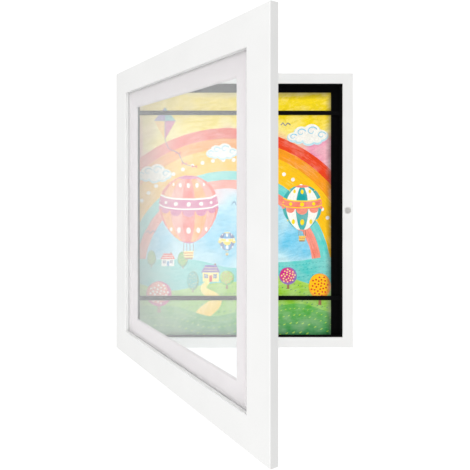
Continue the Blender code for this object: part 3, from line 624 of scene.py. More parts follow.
def leaf_seats(leaves: Iterable[Corners], left: float, near: float, far: float) -> list[BMesh]:
    """The cutters for hinge leaves' seats in a left stile.

    Args:
        leaves: the leaves' boxes, with the door closed.
        left: the stile's outer edge, where the seats are open.
        near: where on Y the seats begin.
        far: where on Y they end.

    Returns:
        One cutter for each leaf.
    """
    seats = []
    for leaf in leaves:
        low, high = grown(leaf, SEAT_FIT)
        seats.append(cuboid(Vector((left - OVERRUN, near, low.z)), Vector((high.x, far, high.z))))
    return seats


# The door's swing


@dataclass(frozen=True)
class DoorSwing:
    """Where the door hinges, and how far it stands open at rest."""

    pivot: Vector
    opening: float

    @classmethod
    def from_frame(cls) -> "DoorSwing":
        """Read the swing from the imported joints, whose lower limit is the closed door."""
        joint = next(j for j in frame["joints"] if j["name"] == "door_hinge")
        return cls(Vector(joint["pos_m"]), math.radians(-joint["range_deg"][0]))

    @property
    def to_rest(self) -> Matrix:
        """From the closed door to where it rests."""
        about = Matrix.Translation(self.pivot)
        return about @ Matrix.Rotation(-self.opening, 4, "Z") @ about.inverted()

    def closed_box(self, node: str) -> Corners:
        """A part's lowest and highest corner with the door closed."""
        back = self.to_rest.inverted()
        return box_round([back @ v.co for v in frame["nodes"][node].data.vertices])


# Mitred frames


@dataclass(frozen=True)
class Section:
    """A frame member's section, with a rebate behind its inner edge."""

    face: float
    ledge: float
    ledge_depth: float
    front_round: float
    back_round: float = 0.25 * MM
    joint: float = 0.012 * MM

    def member(self, length: float, depth: float) -> BMesh:
        """Make a mitred member along X, its outer edge on Z = 0 and its front on Y = 0.

        Args:
            length: along the outer edge.
            depth: from front to back.

        Returns:
            The member's shape.
        """
        outline = [
            (0.0, 0.0), (self.face, 0.0), (self.face, self.ledge_depth),
            (self.face - self.ledge, self.ledge_depth), (self.face - self.ledge, depth), (0.0, depth),
        ]
        shape = bmesh.new()
        near = [shape.verts.new((inset + self.joint - length / 2, back, inset)) for inset, back in outline]
        made = bmesh.ops.extrude_face_region(shape, geom=[shape.faces.new(near)])["geom"]
        for far in [item for item in made if isinstance(item, BMVert)]:
            far.co.x = -far.co.x
        bmesh.ops.recalc_face_normals(shape, faces=shape.faces)
        runs = [e for e in shape.edges if abs(e.verts[0].co.x - e.verts[1].co.x) > length / 2]
        front = [e for e in runs if e.verts[0].co.y < WELD]
        back = [e for e in runs if e.verts[0].co.y > depth - WELD]
        ease(shape, front, self.front_round, steps=4)
        ease(shape, [e for e in back if e.is_valid], self.back_round, steps=2)
        return shape


def frame_members(section: Section, outer: Corners) -> dict[Side, BMesh]:
    """Make the four members of a frame.

    Args:
        section: the members' section.
        outer: the frame's outer box.

    Returns:
        The members' shapes by side, in place.
    """
    low, high = outer
    size = high - low
    centre = Vector(((low.x + high.x) / 2, low.y, (low.z + high.z) / 2))
    members = {}
    for side in Side:
        length, across = (size.x, size.z) if side.level else (size.z, size.x)
        stand = Matrix.Translation(centre) @ side.turn @ Matrix.Translation((0.0, 0.0, -across / 2))
        members[side] = moved(section.member(length, size.y), stand)
    return members


# Wall box


@dataclass
class WallBox:
    """The white box on the wall, its felt lining, its back and what holds them."""

    section: Section = Section(face=13.7 * MM, ledge=5.0 * MM, ledge_depth=7.2 * MM, front_round=0.45 * MM)
    leaf_depth: float = 1.0 * MM

    def build(self) -> None:
        """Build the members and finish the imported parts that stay."""
        names = {
            Side.BOTTOM: "box_rail_bottom", Side.LEFT: "box_stile_left",
            Side.TOP: "box_rail_top", Side.RIGHT: "box_stile_right",
        }
        outer = joined(*(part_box(node) for node in names.values()))
        members = frame_members(self.section, outer)
        leaves = [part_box("hinge_leaf_box_" + level) for level in LEVELS]
        front = outer[0].y
        seats = leaf_seats(leaves, outer[0].x, front - OVERRUN, front + self.leaf_depth)
        members[Side.LEFT] = carved(members[Side.LEFT], seats + self.strap_seats(outer))
        members[Side.RIGHT] = carved(members[Side.RIGHT], [self.magnet_seat(), *self.strap_seats(outer)])
        for side, node in names.items():
            add_piece("lacquered_" + node, members[side], LACQUER, "box", [node])
        finish_parts(Hardboard(), "back_panel")
        liners = ["liner_" + side for side in ("top", "bottom", "left", "right")]
        finish_parts(FELT, "back_lining", *liners)
        staples = [f"strap_staple_{level}_{side}" for level in LEVELS for side in ("left", "right")]
        finish_parts(ZINC, *staples, *(f"panel_nail_{number}" for number in range(1, 5)))

    def strap_seats(self, outer: Corners) -> list[BMesh]:
        """The cutters for the straps' notches, which are open at the back of the ledge."""
        seats = []
        for level in LEVELS:
            low, high = grown(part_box("strap_" + level), SEAT_FIT)
            high.y = outer[0].y + self.section.ledge_depth + OVERRUN
            seats.append(cuboid(low, high))
        return seats

    def magnet_seat(self) -> BMesh:
        """The cutter for the magnet's blind hole."""
        low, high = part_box("magnet_disc")
        radius, depth = (high.x - low.x) / 2 + SEAT_FIT, high.y - low.y
        hole = turned([(0.0, -OVERRUN), (radius, -OVERRUN), (radius, depth), (0.0, depth)])
        return moved(hole, standing((low, high), low.y, 1))


# Door


@dataclass
class Door:
    """The white door frame with its pane and its mat."""

    swing: DoorSwing
    section: Section = Section(face=29.5 * MM, ledge=7.0 * MM, ledge_depth=4.57 * MM, front_round=0.7 * MM)
    leaf_depth: float = 1.0 * MM
    mat_side_margin: float = 22.3 * MM
    mat_end_margin: float = 20.9 * MM
    surface_paper: float = 0.3 * MM

    def build(self) -> None:
        """Build the members and the mat, and finish the pane."""
        names = {
            Side.BOTTOM: "door_rail_bottom", Side.LEFT: "door_stile_hinge",
            Side.TOP: "door_rail_top", Side.RIGHT: "door_stile_free",
        }
        outer = joined(*(self.swing.closed_box(node) for node in names.values()))
        members = frame_members(self.section, outer)
        leaves = [self.swing.closed_box("hinge_leaf_door_" + level) for level in LEVELS]
        back = outer[1].y
        seats = leaf_seats(leaves, outer[0].x, back - self.leaf_depth, back + OVERRUN)
        members[Side.LEFT] = carved(members[Side.LEFT], seats)
        members[Side.RIGHT] = carved(members[Side.RIGHT], [self.strike_seat()])
        for side, node in names.items():
            shape = moved(members[side], self.swing.to_rest)
            add_piece("lacquered_" + node, shape, LACQUER, "door", [node])
        finish_parts(CastAcrylic(), "acrylic_pane")
        self.build_mat(outer)

    def strike_seat(self) -> BMesh:
        """The cutter for the strike screw's countersunk head in the back of the free stile."""
        low, high = self.swing.closed_box("strike_screw")
        radius = (high.x - low.x) / 2 + SEAT_FIT
        depth = radius / 2
        hole = turned([(0.0, -depth), (radius, -depth), (radius, OVERRUN), (0.0, OVERRUN)])
        return moved(hole, standing((low, high), high.y, 1))

    def build_mat(self, outer: Corners) -> None:
        """Build the mat: surface paper, a core in the bevel toned darker than the face as painted shade, and
        backing paper.
        """
        low, high = self.swing.closed_box("mat_board")
        inset_x = self.section.face + self.mat_side_margin
        inset_z = self.section.face + self.mat_end_margin
        window_low = Vector((outer[0].x + inset_x, 0.0, outer[0].z + inset_z))
        window_high = Vector((outer[1].x - inset_x, 0.0, outer[1].z - inset_z))
        thickness = high.y - low.y
        shape = bmesh.new()

        def ring(start: Vector, end: Vector, depth: float) -> list[BMEdge]:
            """A rectangle's edges at a depth."""
            places = ((start.x, start.z), (end.x, start.z), (end.x, end.z), (start.x, end.z))
            verts = [shape.verts.new((x, depth, z)) for x, z in places]
            return [shape.edges.new((a, b)) for a, b in zip(verts, verts[1:] + verts[:1])]

        def window(wider: float, depth: float) -> list[BMEdge]:
            """The window's edges at a depth, wider all round by so much."""
            start, end = grown((window_low, window_high), wider)
            return ring(start, end, depth)

        rings = [
            ring(low, high, high.y),
            ring(low, high, low.y),
            window(thickness, low.y),
            window(thickness - self.surface_paper, low.y + self.surface_paper),
            window(0.0, high.y),
        ]
        paper, core, backing = 0, 1, 2
        bands = ((0, 1, paper), (1, 2, paper), (2, 3, paper), (3, 4, core), (4, 0, backing))
        for first, second, number in bands:
            made = bmesh.ops.bridge_loops(shape, edges=rings[first] + rings[second])
            for face in made["faces"]:
                face.material_index = number
        bmesh.ops.recalc_face_normals(shape, faces=shape.faces)
        finishes = (MAT_FACE, MAT_CORE_IN_PAINTED_SHADE, MAT_BACKING)
        add_piece("bevelled_mat", moved(shape, self.swing.to_rest), finishes, "door", ["mat_board"])


# Straps


@dataclass(frozen=True)
class Strap:
    """A strip of ribbed elastic that holds the drawing."""

    ribs: int = 7
    rib_height: float = 0.14 * MM
    rib_steps: int = 6
    rib_fullness: float = 0.6

    def build(self, node: str) -> None:
        """Build the strip in place of a packed strap, with its ribs along it on both faces."""
        low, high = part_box(node)
        pitch = (high.z - low.z) / self.ribs
        steps = self.rib_steps
        outline = []
        for number in range(self.ribs * steps + 1):
            swell = abs(math.sin(math.pi * number / steps)) ** self.rib_fullness
            sunk = self.rib_height * (1 - swell)
            outline.append(Vector((low.x, low.y + sunk, low.z + pitch * number / steps)))
        back = [Vector((point.x, low.y + high.y - point.y, point.z)) for point in reversed(outline)]
        shape = swept(outline + back, Vector((high.x - low.x, 0.0, 0.0)))
        add_piece("ribbed_" + node, shape, WovenElastic(), "box", [node])


# Fittings


class HeadForm(Enum):
    """The forms of a screw's head."""

    FLAT = "countersunk, flush with the surface"
    PAN = "domed, standing on the surface"


@dataclass(frozen=True)
class Screw:
    """A cross-recessed wood screw. It stands along Z with the top of its head on Z = 0.

    The head's rim, dome and recess are in shares of its radius and height, and the tip in shank radii.
    """

    form: HeadForm
    head_radius: float
    head_height: float
    shank_radius: float
    length: float
    tip: float = 3.3
    flat_rim: tuple[Point, ...] = ((0.97, -0.14), (1.0, -0.06), (0.97, 0.0), (0.0, 0.0))
    pan_rim: tuple[Point, ...] = ((0.96, -1.0), (1.0, -0.93))
    pan_steps: int = 8
    pan_fullness: float = 0.7
    recess_reach: float = 0.56
    recess_half: float = 0.12
    recess_depth: float = 0.7
    recess_taper: float = 0.35
    recess_turn: float = math.radians(20.0)

    def profile(self) -> list[Point]:
        """The screw's half section from its tip to the middle of its head."""
        radius, height, shank = self.head_radius, self.head_height, self.shank_radius
        points = [(0.0, -self.length), (shank, self.tip * shank - self.length), (shank, -height)]
        if self.form is HeadForm.FLAT:
            return points + [(radius * out, height * up) for out, up in self.flat_rim]
        points += [(radius * out, height * up) for out, up in self.pan_rim]
        dome = height * -self.pan_rim[-1][1]
        for step in range(1, self.pan_steps):
            lean = step * RIGHT_ANGLE / self.pan_steps
            points.append((radius * math.cos(lean) ** self.pan_fullness, dome * math.sin(lean) - dome))
        return [*points, (0.0, 0.0)]

    def shape(self) -> BMesh:
        """The screw, with its cross recess cut."""
        reach, half = self.head_radius * self.recess_reach, self.head_radius * self.recess_half
        depth = self.head_height * self.recess_depth
        blades = []
        for angle in (0.0, RIGHT_ANGLE):
            blade = cuboid(Vector((-reach, -half, -depth)), Vector((reach, half, OVERRUN)))
            for vert in blade.verts:
                if vert.co.z < 0:
                    vert.co.x *= self.recess_taper
            blades.append(moved(blade, Matrix.Rotation(angle + self.recess_turn, 4, "Z")))
        return carved(turned(self.profile()), blades)

    def build(self, node: str, corners: Corners, facing: int, body: str, place: Matrix = IN_PLACE) -> None:
        """Build the screw in place of a packed one.

        Args:
            node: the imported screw.
            corners: its box, with the door closed.
            facing: -1 where the head looks to the front, and 1 where it looks to the wall.
            body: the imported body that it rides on.
            place: the move from the closed door to where it rests, for a screw in the door.
        """
        top = corners[1].y if facing > 0 else corners[0].y
        shape = moved(self.shape(), place @ standing(corners, top, facing))
        add_piece("cross_recessed_" + node, shape, ZINC, body, [node])


@dataclass
class Fittings:
    """The hinges, the magnet and its strike, the turn buttons, the hangers, bumpers and wedges.

    A bumper's wall and foot are in shares of its height and radius, and a wedge's throat in its walls.
    """

    swing: DoorSwing
    edge_round: float = 0.12 * MM
    hinge_screw: Screw = Screw(HeadForm.FLAT, 1.9 * MM, 0.9 * MM, 0.9 * MM, 7.0 * MM)
    strike_screw: Screw = Screw(HeadForm.FLAT, 3.2 * MM, 1.2 * MM, 1.4 * MM, 6.0 * MM)
    turn_screw: Screw = Screw(HeadForm.PAN, 2.6 * MM, 1.0 * MM, 1.1 * MM, 8.6 * MM)
    magnet_chamfer: float = 0.3 * MM
    bumper_steps: int = 10
    bumper_wall: float = 0.45
    bumper_foot: Point = (0.97, 0.06)
    wedge_leg: float = 4.2 * MM
    wedge_wall: float = 0.45 * MM
    wedge_throat: float = 1.6
    wedge_depth: float = 6.0 * MM
    wedge_proud: float = 0.05 * MM
    box_wedges: tuple[float, ...] = (2.2 * MM,)
    door_wedges: tuple[float, ...] = (4.0 * MM, 13.0 * MM)

    def build(self) -> None:
        """Build every fitting."""
        self.hinges()
        self.magnet()
        self.turn_buttons()
        self.hangers()
        self.wedges()

    def eased(self, node: str, body: str) -> None:
        """Build a packed steel part again with its sharp edges rounded."""
        shape = copied(node)
        ease(shape, sharp_edges(shape), self.edge_round, steps=2)
        add_piece("rounded_" + node, shape, ZINC, body, [node])

    def hinges(self) -> None:
        """The leaves, pins and screws of the two hinges."""
        for level in LEVELS:
            self.eased("hinge_leaf_box_" + level, "box")
            self.eased("hinge_leaf_door_" + level, "door")
            self.eased("hinge_pin_" + level, "box")
        for number in range(1, 5):
            node = f"hinge_screw_box_{number}"
            self.hinge_screw.build(node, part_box(node), -1, "box")
            node = f"hinge_screw_door_{number}"
            self.hinge_screw.build(node, self.swing.closed_box(node), 1, "door", self.swing.to_rest)

    def magnet(self) -> None:
        """The magnet in the box, and the steel screw that it holds."""
        low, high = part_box("magnet_disc")
        radius, thickness = (high.x - low.x) / 2, high.y - low.y
        cut = self.magnet_chamfer
        profile = [
            (0.0, -thickness), (radius - cut, -thickness), (radius, cut - thickness), (radius, -cut),
            (radius - cut, 0.0), (0.0, 0.0),
        ]
        disc = moved(turned(profile, steps=64), standing((low, high), low.y, -1))
        add_piece("chamfered_magnet", disc, NICKEL, "box", ["magnet_disc"])
        node = "strike_screw"
        self.strike_screw.build(node, self.swing.closed_box(node), 1, "door", self.swing.to_rest)

    def turn_buttons(self) -> None:
        """The turn buttons, each on its own body, and their screws in the door."""
        for side in ("top", "bottom", "hinge_side", "free_side"):
            self.eased("turn_button_" + side, "turn_button_" + side)
            node = "turn_screw_" + side
            self.turn_screw.build(node, self.swing.closed_box(node), 1, "door", self.swing.to_rest)

    def hangers(self) -> None:
        """The sawtooth hangers with their nails, and the domed bumpers."""
        self.eased("hanger_top", "box")
        self.eased("hanger_side", "box")
        finish_parts(ZINC, *(f"hanger_nail_{number}" for number in range(1, 5)))
        wall, (foot, lift) = self.bumper_wall, self.bumper_foot
        leans = [step * RIGHT_ANGLE / self.bumper_steps for step in range(self.bumper_steps)]
        for side in ("left", "right"):
            low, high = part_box("wall_bumper_" + side)
            radius, height = (high.x - low.x) / 2, high.y - low.y
            dome = [
                (radius * math.cos(lean), height * (wall + (1 - wall) * math.sin(lean))) for lean in leans
            ]
            profile = [(0.0, 0.0), (radius * foot, 0.0), (radius, height * lift), *dome, (0.0, height)]
            bumper = moved(turned(profile, steps=48), standing((low, high), low.y, 1))
            add_piece("domed_bumper_" + side, bumper, RUBBER, "box", ["wall_bumper_" + side])

    def wedge(self) -> BMesh:
        """A V-shaped steel wedge, seen end on, that is driven in along Y across a mitre on the diagonal."""
        leg, tip, throat = self.wedge_leg, self.wedge_wall / 2, self.wedge_wall * self.wedge_throat
        places = ((0.0, 0.0), (leg, tip), (leg, throat), (throat, throat), (throat, leg), (tip, leg))
        return swept([Vector((x, 0.0, z)) for x, z in places], Vector((0.0, -self.wedge_depth, 0.0)))

    def wedges(self) -> None:
        """Wedges across the mitres in the frames' backs, one to a mitre on the box and two on the door."""
        box = joined(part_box("box_rail_top"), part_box("box_rail_bottom"))
        door = joined(self.swing.closed_box("door_rail_top"), self.swing.closed_box("door_rail_bottom"))
        frames = (
            ("box", box, self.box_wedges, IN_PLACE),
            ("door", door, self.door_wedges, self.swing.to_rest),
        )
        for body, (low, high), insets, place in frames:
            corners = ((low.x, low.z), (high.x, low.z), (high.x, high.z), (low.x, high.z))
            for number, (x, z) in enumerate(corners):
                for rank, inset in enumerate(insets):
                    spot = Matrix.Translation((x, high.y + self.wedge_proud, z))
                    turn = Matrix.Rotation(-number * RIGHT_ANGLE, 4, "Y")
                    shift = Matrix.Translation((inset, 0.0, inset))
                    shape = moved(self.wedge(), place @ spot @ turn @ shift)
                    add_piece(f"mitre_wedge_{body}_{number + 1}_{rank + 1}", shape, ZINC, body)


# Painting on the sheet


class Hue(Enum):
    """The poster paints on the palette."""

    ROSE = "#F3A3BE"
    BLUSH = "#F9C6CF"
    GOLD = "#FFC40C"
    LEMON = "#FFE23D"
    STRAW = "#FFEE93"
    APRICOT = "#FB9E2E"
    CORAL = "#F0553F"
    SALMON = "#F79484"
    SCARLET = "#DC2A26"
    SKY = "#7FCDEB"
    MIST = "#C4E8F2"
    AZURE = "#3C9BD3"
    NAVY = "#27488F"
    TEAL = "#14A3A4"
    AQUA = "#6AD0CB"
    VIOLET = "#7B52AB"
    LILAC = "#B79AD6"
    MAGENTA = "#CF3688"
    LIME = "#A9D25A"
    LEAF = "#5FB04B"
    PINE = "#1C7F4E"
    UMBER = "#8A5A34"
    CHALK = "#FBF9F2"


@dataclass(frozen=True)
class Paint:
    """The paint of one shape: its hues from the bottom up, and the lie of its brush strokes in mm."""

    hues: tuple[Hue, ...]
    lean: float = 0.0
    round: Point | None = None
    length: float = 18.0
    width: float = 2.0

    def colour(self, share: float) -> Colour:
        """The linear colour at a share of the shape's height."""
        place = min(max(share, 0.0), 1.0) * (len(self.hues) - 1)
        first = min(int(place), max(len(self.hues) - 2, 0))
        pair = [Vector(linear(hue.value)) for hue in self.hues[first:first + 2]]
        return tuple(pair[0].lerp(pair[-1], place - first))

    def stroke(self, place: Point) -> Point:
        """Where a place lies along and across the strokes, counted in strokes."""
        if self.round is None:
            along = place[0] * math.cos(self.lean) + place[1] * math.sin(self.lean)
            across = place[1] * math.cos(self.lean) - place[0] * math.sin(self.lean)
        else:
            across = math.dist(place, self.round)
            along = across * math.atan2(place[1] - self.round[1], place[0] - self.round[0])
        return along / self.length, across / self.width


@dataclass(frozen=True)
class Dab:
    """One painted shape, with an outline in mm from the sheet's lower left corner."""

    outline: tuple[Point, ...]
    paint: Paint


def polar(centre: Point, reach: float, angle: float, rise: float = 1.0) -> Point:
    """The point at a reach and an angle from a centre, with its height times rise."""
    return centre[0] + reach * math.cos(angle), centre[1] + reach * rise * math.sin(angle)


def scaled(centre: Point, size: float, places: Iterable[Point]) -> tuple[Point, ...]:
    """Places in mm that are given in sizes from a centre."""
    return tuple((centre[0] + x * size, centre[1] + z * size) for x, z in places)


def oval(centre: Point, radius: float, rise: float = 1.0, points: int = 28) -> tuple[Point, ...]:
    """An upright oval, rise times as high as it is wide."""
    return tuple(polar(centre, radius, math.tau * number / points, rise) for number in range(points))


def ring_part(centre: Point, inner: float, outer: float, points: int = 72) -> tuple[Point, ...]:
    """The upper half of a ring."""
    turns = [math.pi * number / points for number in range(points + 1)]
    far = [polar(centre, outer, turn) for turn in turns]
    return tuple(far + [polar(centre, inner, turn) for turn in reversed(turns)])


def flowing(points: Sequence[Point], steps: int = 8) -> list[Point]:
    """A smooth line through some points."""
    spots = [Vector(point) for point in points]
    spots = [2 * spots[0] - spots[1], *spots, 2 * spots[-1] - spots[-2]]
    line = []
    for a, b, c, d in zip(spots, spots[1:], spots[2:], spots[3:]):
        for step in range(steps):
            t = step / steps
            bend, twist = a * 2 - b * 5 + c * 4 - d, b * 3 - a - c * 3 + d
            line.append(tuple((b * 2 + (c - a) * t + bend * t**2 + twist * t**3) / 2))
    return [*line, tuple(spots[-2])]


def ribbon(line: Sequence[Point], start: float, end: float | None = None) -> tuple[Point, ...]:
    """A stroke along a line, whose width runs from start to end."""
    end = start if end is None else end
    spots = [Vector(point) for point in line]
    left, right = [], []
    for number, spot in enumerate(spots):
        ahead = spots[min(number + 1, len(spots) - 1)] - spots[max(number - 1, 0)]
        half = (start + (end - start) * number / (len(spots) - 1)) / 2
        side = Vector((-ahead.y, ahead.x)).normalized() * half
        left.append(tuple(spot + side))
        right.append(tuple(spot - side))
    return tuple(left + right[::-1])


def leftward(outline: Sequence[Point]) -> Sequence[Point]:
    """Give an outline that runs anticlockwise."""
    following = [*outline[1:], outline[0]]
    area = sum(here[0] * there[1] - there[0] * here[1] for here, there in zip(outline, following))
    return outline if area > 0 else outline[::-1]


class Motif:
    """A thing in the picture, painted dab over dab."""

    def dabs(self) -> Iterable[Dab]:
        """Give the dabs in the order they are painted."""
        raise NotImplementedError


@dataclass(frozen=True)
class Balloon(Motif):
    """A hot-air balloon with a striped envelope, a dotted belt with scallops and a wicker basket."""

    centre: Point
    radius: float
    stripes: tuple[Hue, ...]
    belt: Hue
    dots: Hue
    neck_turn: float = 0.94 * math.pi
    droop: float = 0.16
    dotted_turns: tuple[float, float] = (0.24, 0.74)
    scallop_turn: float = 0.55
    bead_turn: float = 0.472

    def point(self, turn: float, across: float) -> Point:
        """A point of the envelope: turn runs from crown to neck, across from left, -1, to right, 1."""
        angle = turn * self.neck_turn
        below = max(-math.cos(angle), 0.0)
        half = self.radius * math.sin(angle) * (1 - 0.22 * below**2)
        sag = self.droop * half * math.sqrt(max(1 - across**2, 0.0))
        rise = self.radius * (math.cos(angle) - 0.3 * below)
        return self.centre[0] + across * half, self.centre[1] + rise - sag

    def band(self, first: float, last: float, left: float = -1.0, right: float = 1.0) -> tuple[Point, ...]:
        """The envelope's part between two turns and two places across."""
        down = [first + (last - first) * step / 14 for step in range(15)]
        over = [left + (right - left) * step / 10 for step in range(11)]
        return tuple(
            [self.point(turn, left) for turn in down]
            + [self.point(last, across) for across in over[1:-1]]
            + [self.point(turn, right) for turn in reversed(down)]
            + [self.point(first, across) for across in over[-2:0:-1]]
        )

    def dabs(self) -> Iterable[Dab]:
        """The envelope's stripes, its belt, and the basket on its ropes."""
        count = len(self.stripes)
        seams = [math.sin((number / count - 0.5) * math.pi) for number in range(count + 1)]
        upright = {"lean": RIGHT_ANGLE, "length": self.radius / 2, "width": self.radius / 18}
        for hue, left, right in zip(self.stripes, seams, seams[1:]):
            yield Dab(self.band(0.02, 1.0, left, right), Paint((hue,), **upright))
        middles = [math.sin(((number + 0.5) / count - 0.5) * math.pi) for number in range(count)]
        for middle, left, right in zip(middles, seams, seams[1:]):
            for turn in self.dotted_turns:
                size = self.radius * math.sin(turn * self.neck_turn) * (right - left) * 0.2
                yield Dab(oval(self.point(turn, middle), size, 1.5, 14), Paint((self.dots,), **upright))
        level = {"length": self.radius / 2, "width": self.radius / 20}
        belt, beads = Paint((self.belt,), **level), Paint((self.dots,), **level)

        def row(turn: float, paint: Paint, share: float, rise: float, points: int) -> Iterable[Dab]:
            """A row of ovals, one to a stripe."""
            for middle, left, right in zip(middles, seams, seams[1:]):
                size = self.radius * (right - left) * share
                yield Dab(oval(self.point(turn, middle), size, rise, points), paint)

        def bands(paint: Paint, *turns: tuple[float, float]) -> Iterable[Dab]:
            """Bands round the envelope."""
            for first, last in turns:
                yield Dab(self.band(first, last), paint)

        yield from row(self.scallop_turn, belt, 0.46, 0.9, 18)
        yield from bands(belt, (0.42, 0.55))
        yield from bands(beads, (0.405, 0.425), (0.52, 0.535))
        yield from row(self.bead_turn, beads, 0.17, 1.0, 14)
        yield from bands(belt, (0.02, 0.13), (0.93, 1.0))
        yield from self.basket()

    def basket(self) -> Iterable[Dab]:
        """The basket, its ropes and its weave."""
        wide, top = self.radius * 0.17, self.point(1.0, 0.0)[1] - self.radius * 0.28
        deep = self.radius * 0.26
        middle = self.centre[0]
        for side in (-1.0, -0.35, 0.35, 1.0):
            rope = ribbon([self.point(0.99, side * 0.9), (middle + side * wide, top)], self.radius * 0.025)
            yield Dab(rope, Paint((Hue.UMBER,)))
        low = top - deep
        foot, band = wide * 0.8, wide * 1.05
        sides = ((middle - wide, top), (middle + wide, top), (middle + foot, low), (middle - foot, low))
        yield Dab(sides, Paint((Hue.UMBER, Hue.APRICOT), length=3.0, width=0.8))
        for row in (0.0, 0.34, 0.68):
            level = top - deep * row
            weave = ribbon([(middle - band, level), (middle + band, level)], self.radius * 0.04)
            yield Dab(weave, Paint((Hue.STRAW,)))


@dataclass(frozen=True)
class Cloud(Motif):
    """A heaped cloud with a curl in each of its first few heaps."""

    centre: Point
    size: float
    rise: float = 0.86
    lit_lift: float = 0.045
    curl_lift: float = 0.03
    curls: int = 4
    curl_steps: int = 15
    heaps: tuple[tuple[float, float, float], ...] = (
        (-0.62, -0.02, 0.24), (-0.3, 0.14, 0.32), (0.12, 0.2, 0.36), (0.5, 0.04, 0.28), (0.0, -0.1, 0.3),
        (-0.4, -0.12, 0.2), (0.34, -0.12, 0.22),
    )

    def dabs(self) -> Iterable[Dab]:
        """The shaded heaps, the bright heaps over them, and the curls."""
        for lift, hue in ((0.0, Hue.MIST), (self.lit_lift, Hue.CHALK)):
            for right, up, radius in self.heaps:
                centre = (self.centre[0] + right * self.size, self.centre[1] + (up + lift) * self.size)
                swirl = Paint((hue,), round=centre, length=8.0, width=1.6)
                yield Dab(oval(centre, (radius - lift) * self.size, self.rise), swirl)
        for right, up, radius in self.heaps[:self.curls]:
            centre = (self.centre[0] + right * self.size, self.centre[1] + (up + self.curl_lift) * self.size)
            curl = []
            for step in range(self.curl_steps):
                reach = radius * self.size * (0.62 - 0.032 * step)
                curl.append(polar(centre, reach, 0.35 + step * 0.42, self.rise))
            yield Dab(ribbon(curl, 1.3, 0.5), Paint((Hue.SKY,), length=4.0, width=0.6))


@dataclass(frozen=True)
class Hill(Motif):
    """A hill across the whole sheet, sown in rows that follow its crest."""

    height: float
    swell: float
    wave: float
    shift: float
    hues: tuple[Hue, ...]
    seed_hue: Hue
    rows: int
    gap: float
    seed: float
    across: range = range(-6, 268, 4)
    foot: tuple[Point, Point] = ((264.0, -8.0), (-6.0, -8.0))
    sown: float = 270.0
    stride: float = 4.4
    leaf: tuple[Point, ...] = ((-1.1, -0.2), (-0.3, 0.45), (0.9, 0.9), (0.5, 0.0), (-0.4, -0.45))

    def crest(self, right: float) -> float:
        """The crest's height at a place."""
        turn = math.tau * right / self.wave + self.shift
        return self.height + self.swell * (math.sin(turn) + 0.3 * math.sin(2.3 * turn + 1.0))

    def dabs(self) -> Iterable[Dab]:
        """The hill, and its rows of short leaf-shaped strokes."""
        crest = [(right, self.crest(right)) for right in self.across]
        yield Dab((*crest, *self.foot), Paint(self.hues, lean=0.12, length=14.0, width=2.2))
        for row in range(1, self.rows + 1):
            fall = self.gap * row * (1 + 0.16 * row)
            size = self.seed * (0.7 + 0.16 * row)
            stride = self.stride * size
            for number in range(int(self.sown / stride)):
                right = (number + 0.5 * (row % 2)) * stride
                leaf = scaled((right, self.crest(right) - fall), size, self.leaf)
                yield Dab(leaf, Paint((self.seed_hue,), lean=0.5, length=3.0, width=0.8))


@dataclass(frozen=True)
class Tree(Motif):
    """A round-headed tree with fruit, or a tall one where its rise is more than 1."""

    foot: Point
    stem: float
    radius: float
    leaf: Hue
    shade: Hue
    fruit: Hue
    rise: float = 1.0
    fruits: int = 16

    def dabs(self) -> Iterable[Dab]:
        """The trunk, the head, its lit side and the fruit in a spiral."""
        centre = (self.foot[0], self.foot[1] + self.stem + self.radius * self.rise * 0.8)
        trunk = ribbon([self.foot, (self.foot[0] + 0.4, centre[1])], self.radius * 0.3, self.radius * 0.16)
        yield Dab(trunk, Paint((Hue.UMBER,), lean=RIGHT_ANGLE, length=6.0, width=0.8))
        whirl = {"round": centre, "length": 5.0, "width": 1.1}
        yield Dab(oval(centre, self.radius, self.rise, 36), Paint((self.shade,), **whirl))
        lit = (centre[0] - self.radius * 0.1, centre[1] + self.radius * 0.1)
        yield Dab(oval(lit, self.radius * 0.84, self.rise, 32), Paint((self.leaf,), **whirl))
        for number in range(self.fruits):
            reach = self.radius * 0.8 * math.sqrt((number + 0.5) / self.fruits)
            spot = polar(centre, reach, number * GOLDEN_ANGLE, self.rise)
            yield Dab(oval(spot, self.radius * 0.085, 1.0, 10), Paint((self.fruit,)))


@dataclass(frozen=True)
class Cottage(Motif):
    """A cottage with a pitched roof, a chimney, two windows and a door."""

    foot: Point
    width: float
    wall: Hue
    roof: Hue
    door: Hue

    def quad(self, left: float, low: float, right: float, high: float) -> tuple[Point, ...]:
        """An upright rectangle, in shares of the cottage's width from its foot."""
        return scaled(self.foot, self.width, ((left, low), (right, low), (right, high), (left, high)))

    def dabs(self) -> Iterable[Dab]:
        """The chimney, walls, roof, windows and door."""
        fine = {"length": 5.0, "width": 0.9}
        yield Dab(self.quad(0.2, 0.6, 0.32, 1.12), Paint((Hue.UMBER,), **fine))
        yield Dab(self.quad(-0.5, 0.0, 0.5, 0.62), Paint((self.wall,), **fine))
        roof = scaled(self.foot, self.width, ((-0.6, 0.56), (0.6, 0.56), (0.34, 1.02), (-0.34, 1.02)))
        yield Dab(roof, Paint((self.roof,), lean=0.9, **fine))
        for row in (0.7, 0.85):
            half = 0.5 - row * 0.12
            yield Dab(self.quad(-half, row - 0.015, half, row + 0.015), Paint((self.wall,)))
        for left in (-0.4, 0.16):
            yield Dab(self.quad(left, 0.22, left + 0.22, 0.46), Paint((Hue.NAVY,), **fine))
            yield Dab(self.quad(left + 0.1, 0.22, left + 0.12, 0.46), Paint((Hue.CHALK,)))
            yield Dab(self.quad(left, 0.33, left + 0.22, 0.355), Paint((Hue.CHALK,)))
        yield Dab(self.quad(-0.1, 0.0, 0.09, 0.4), Paint((self.door,), **fine))


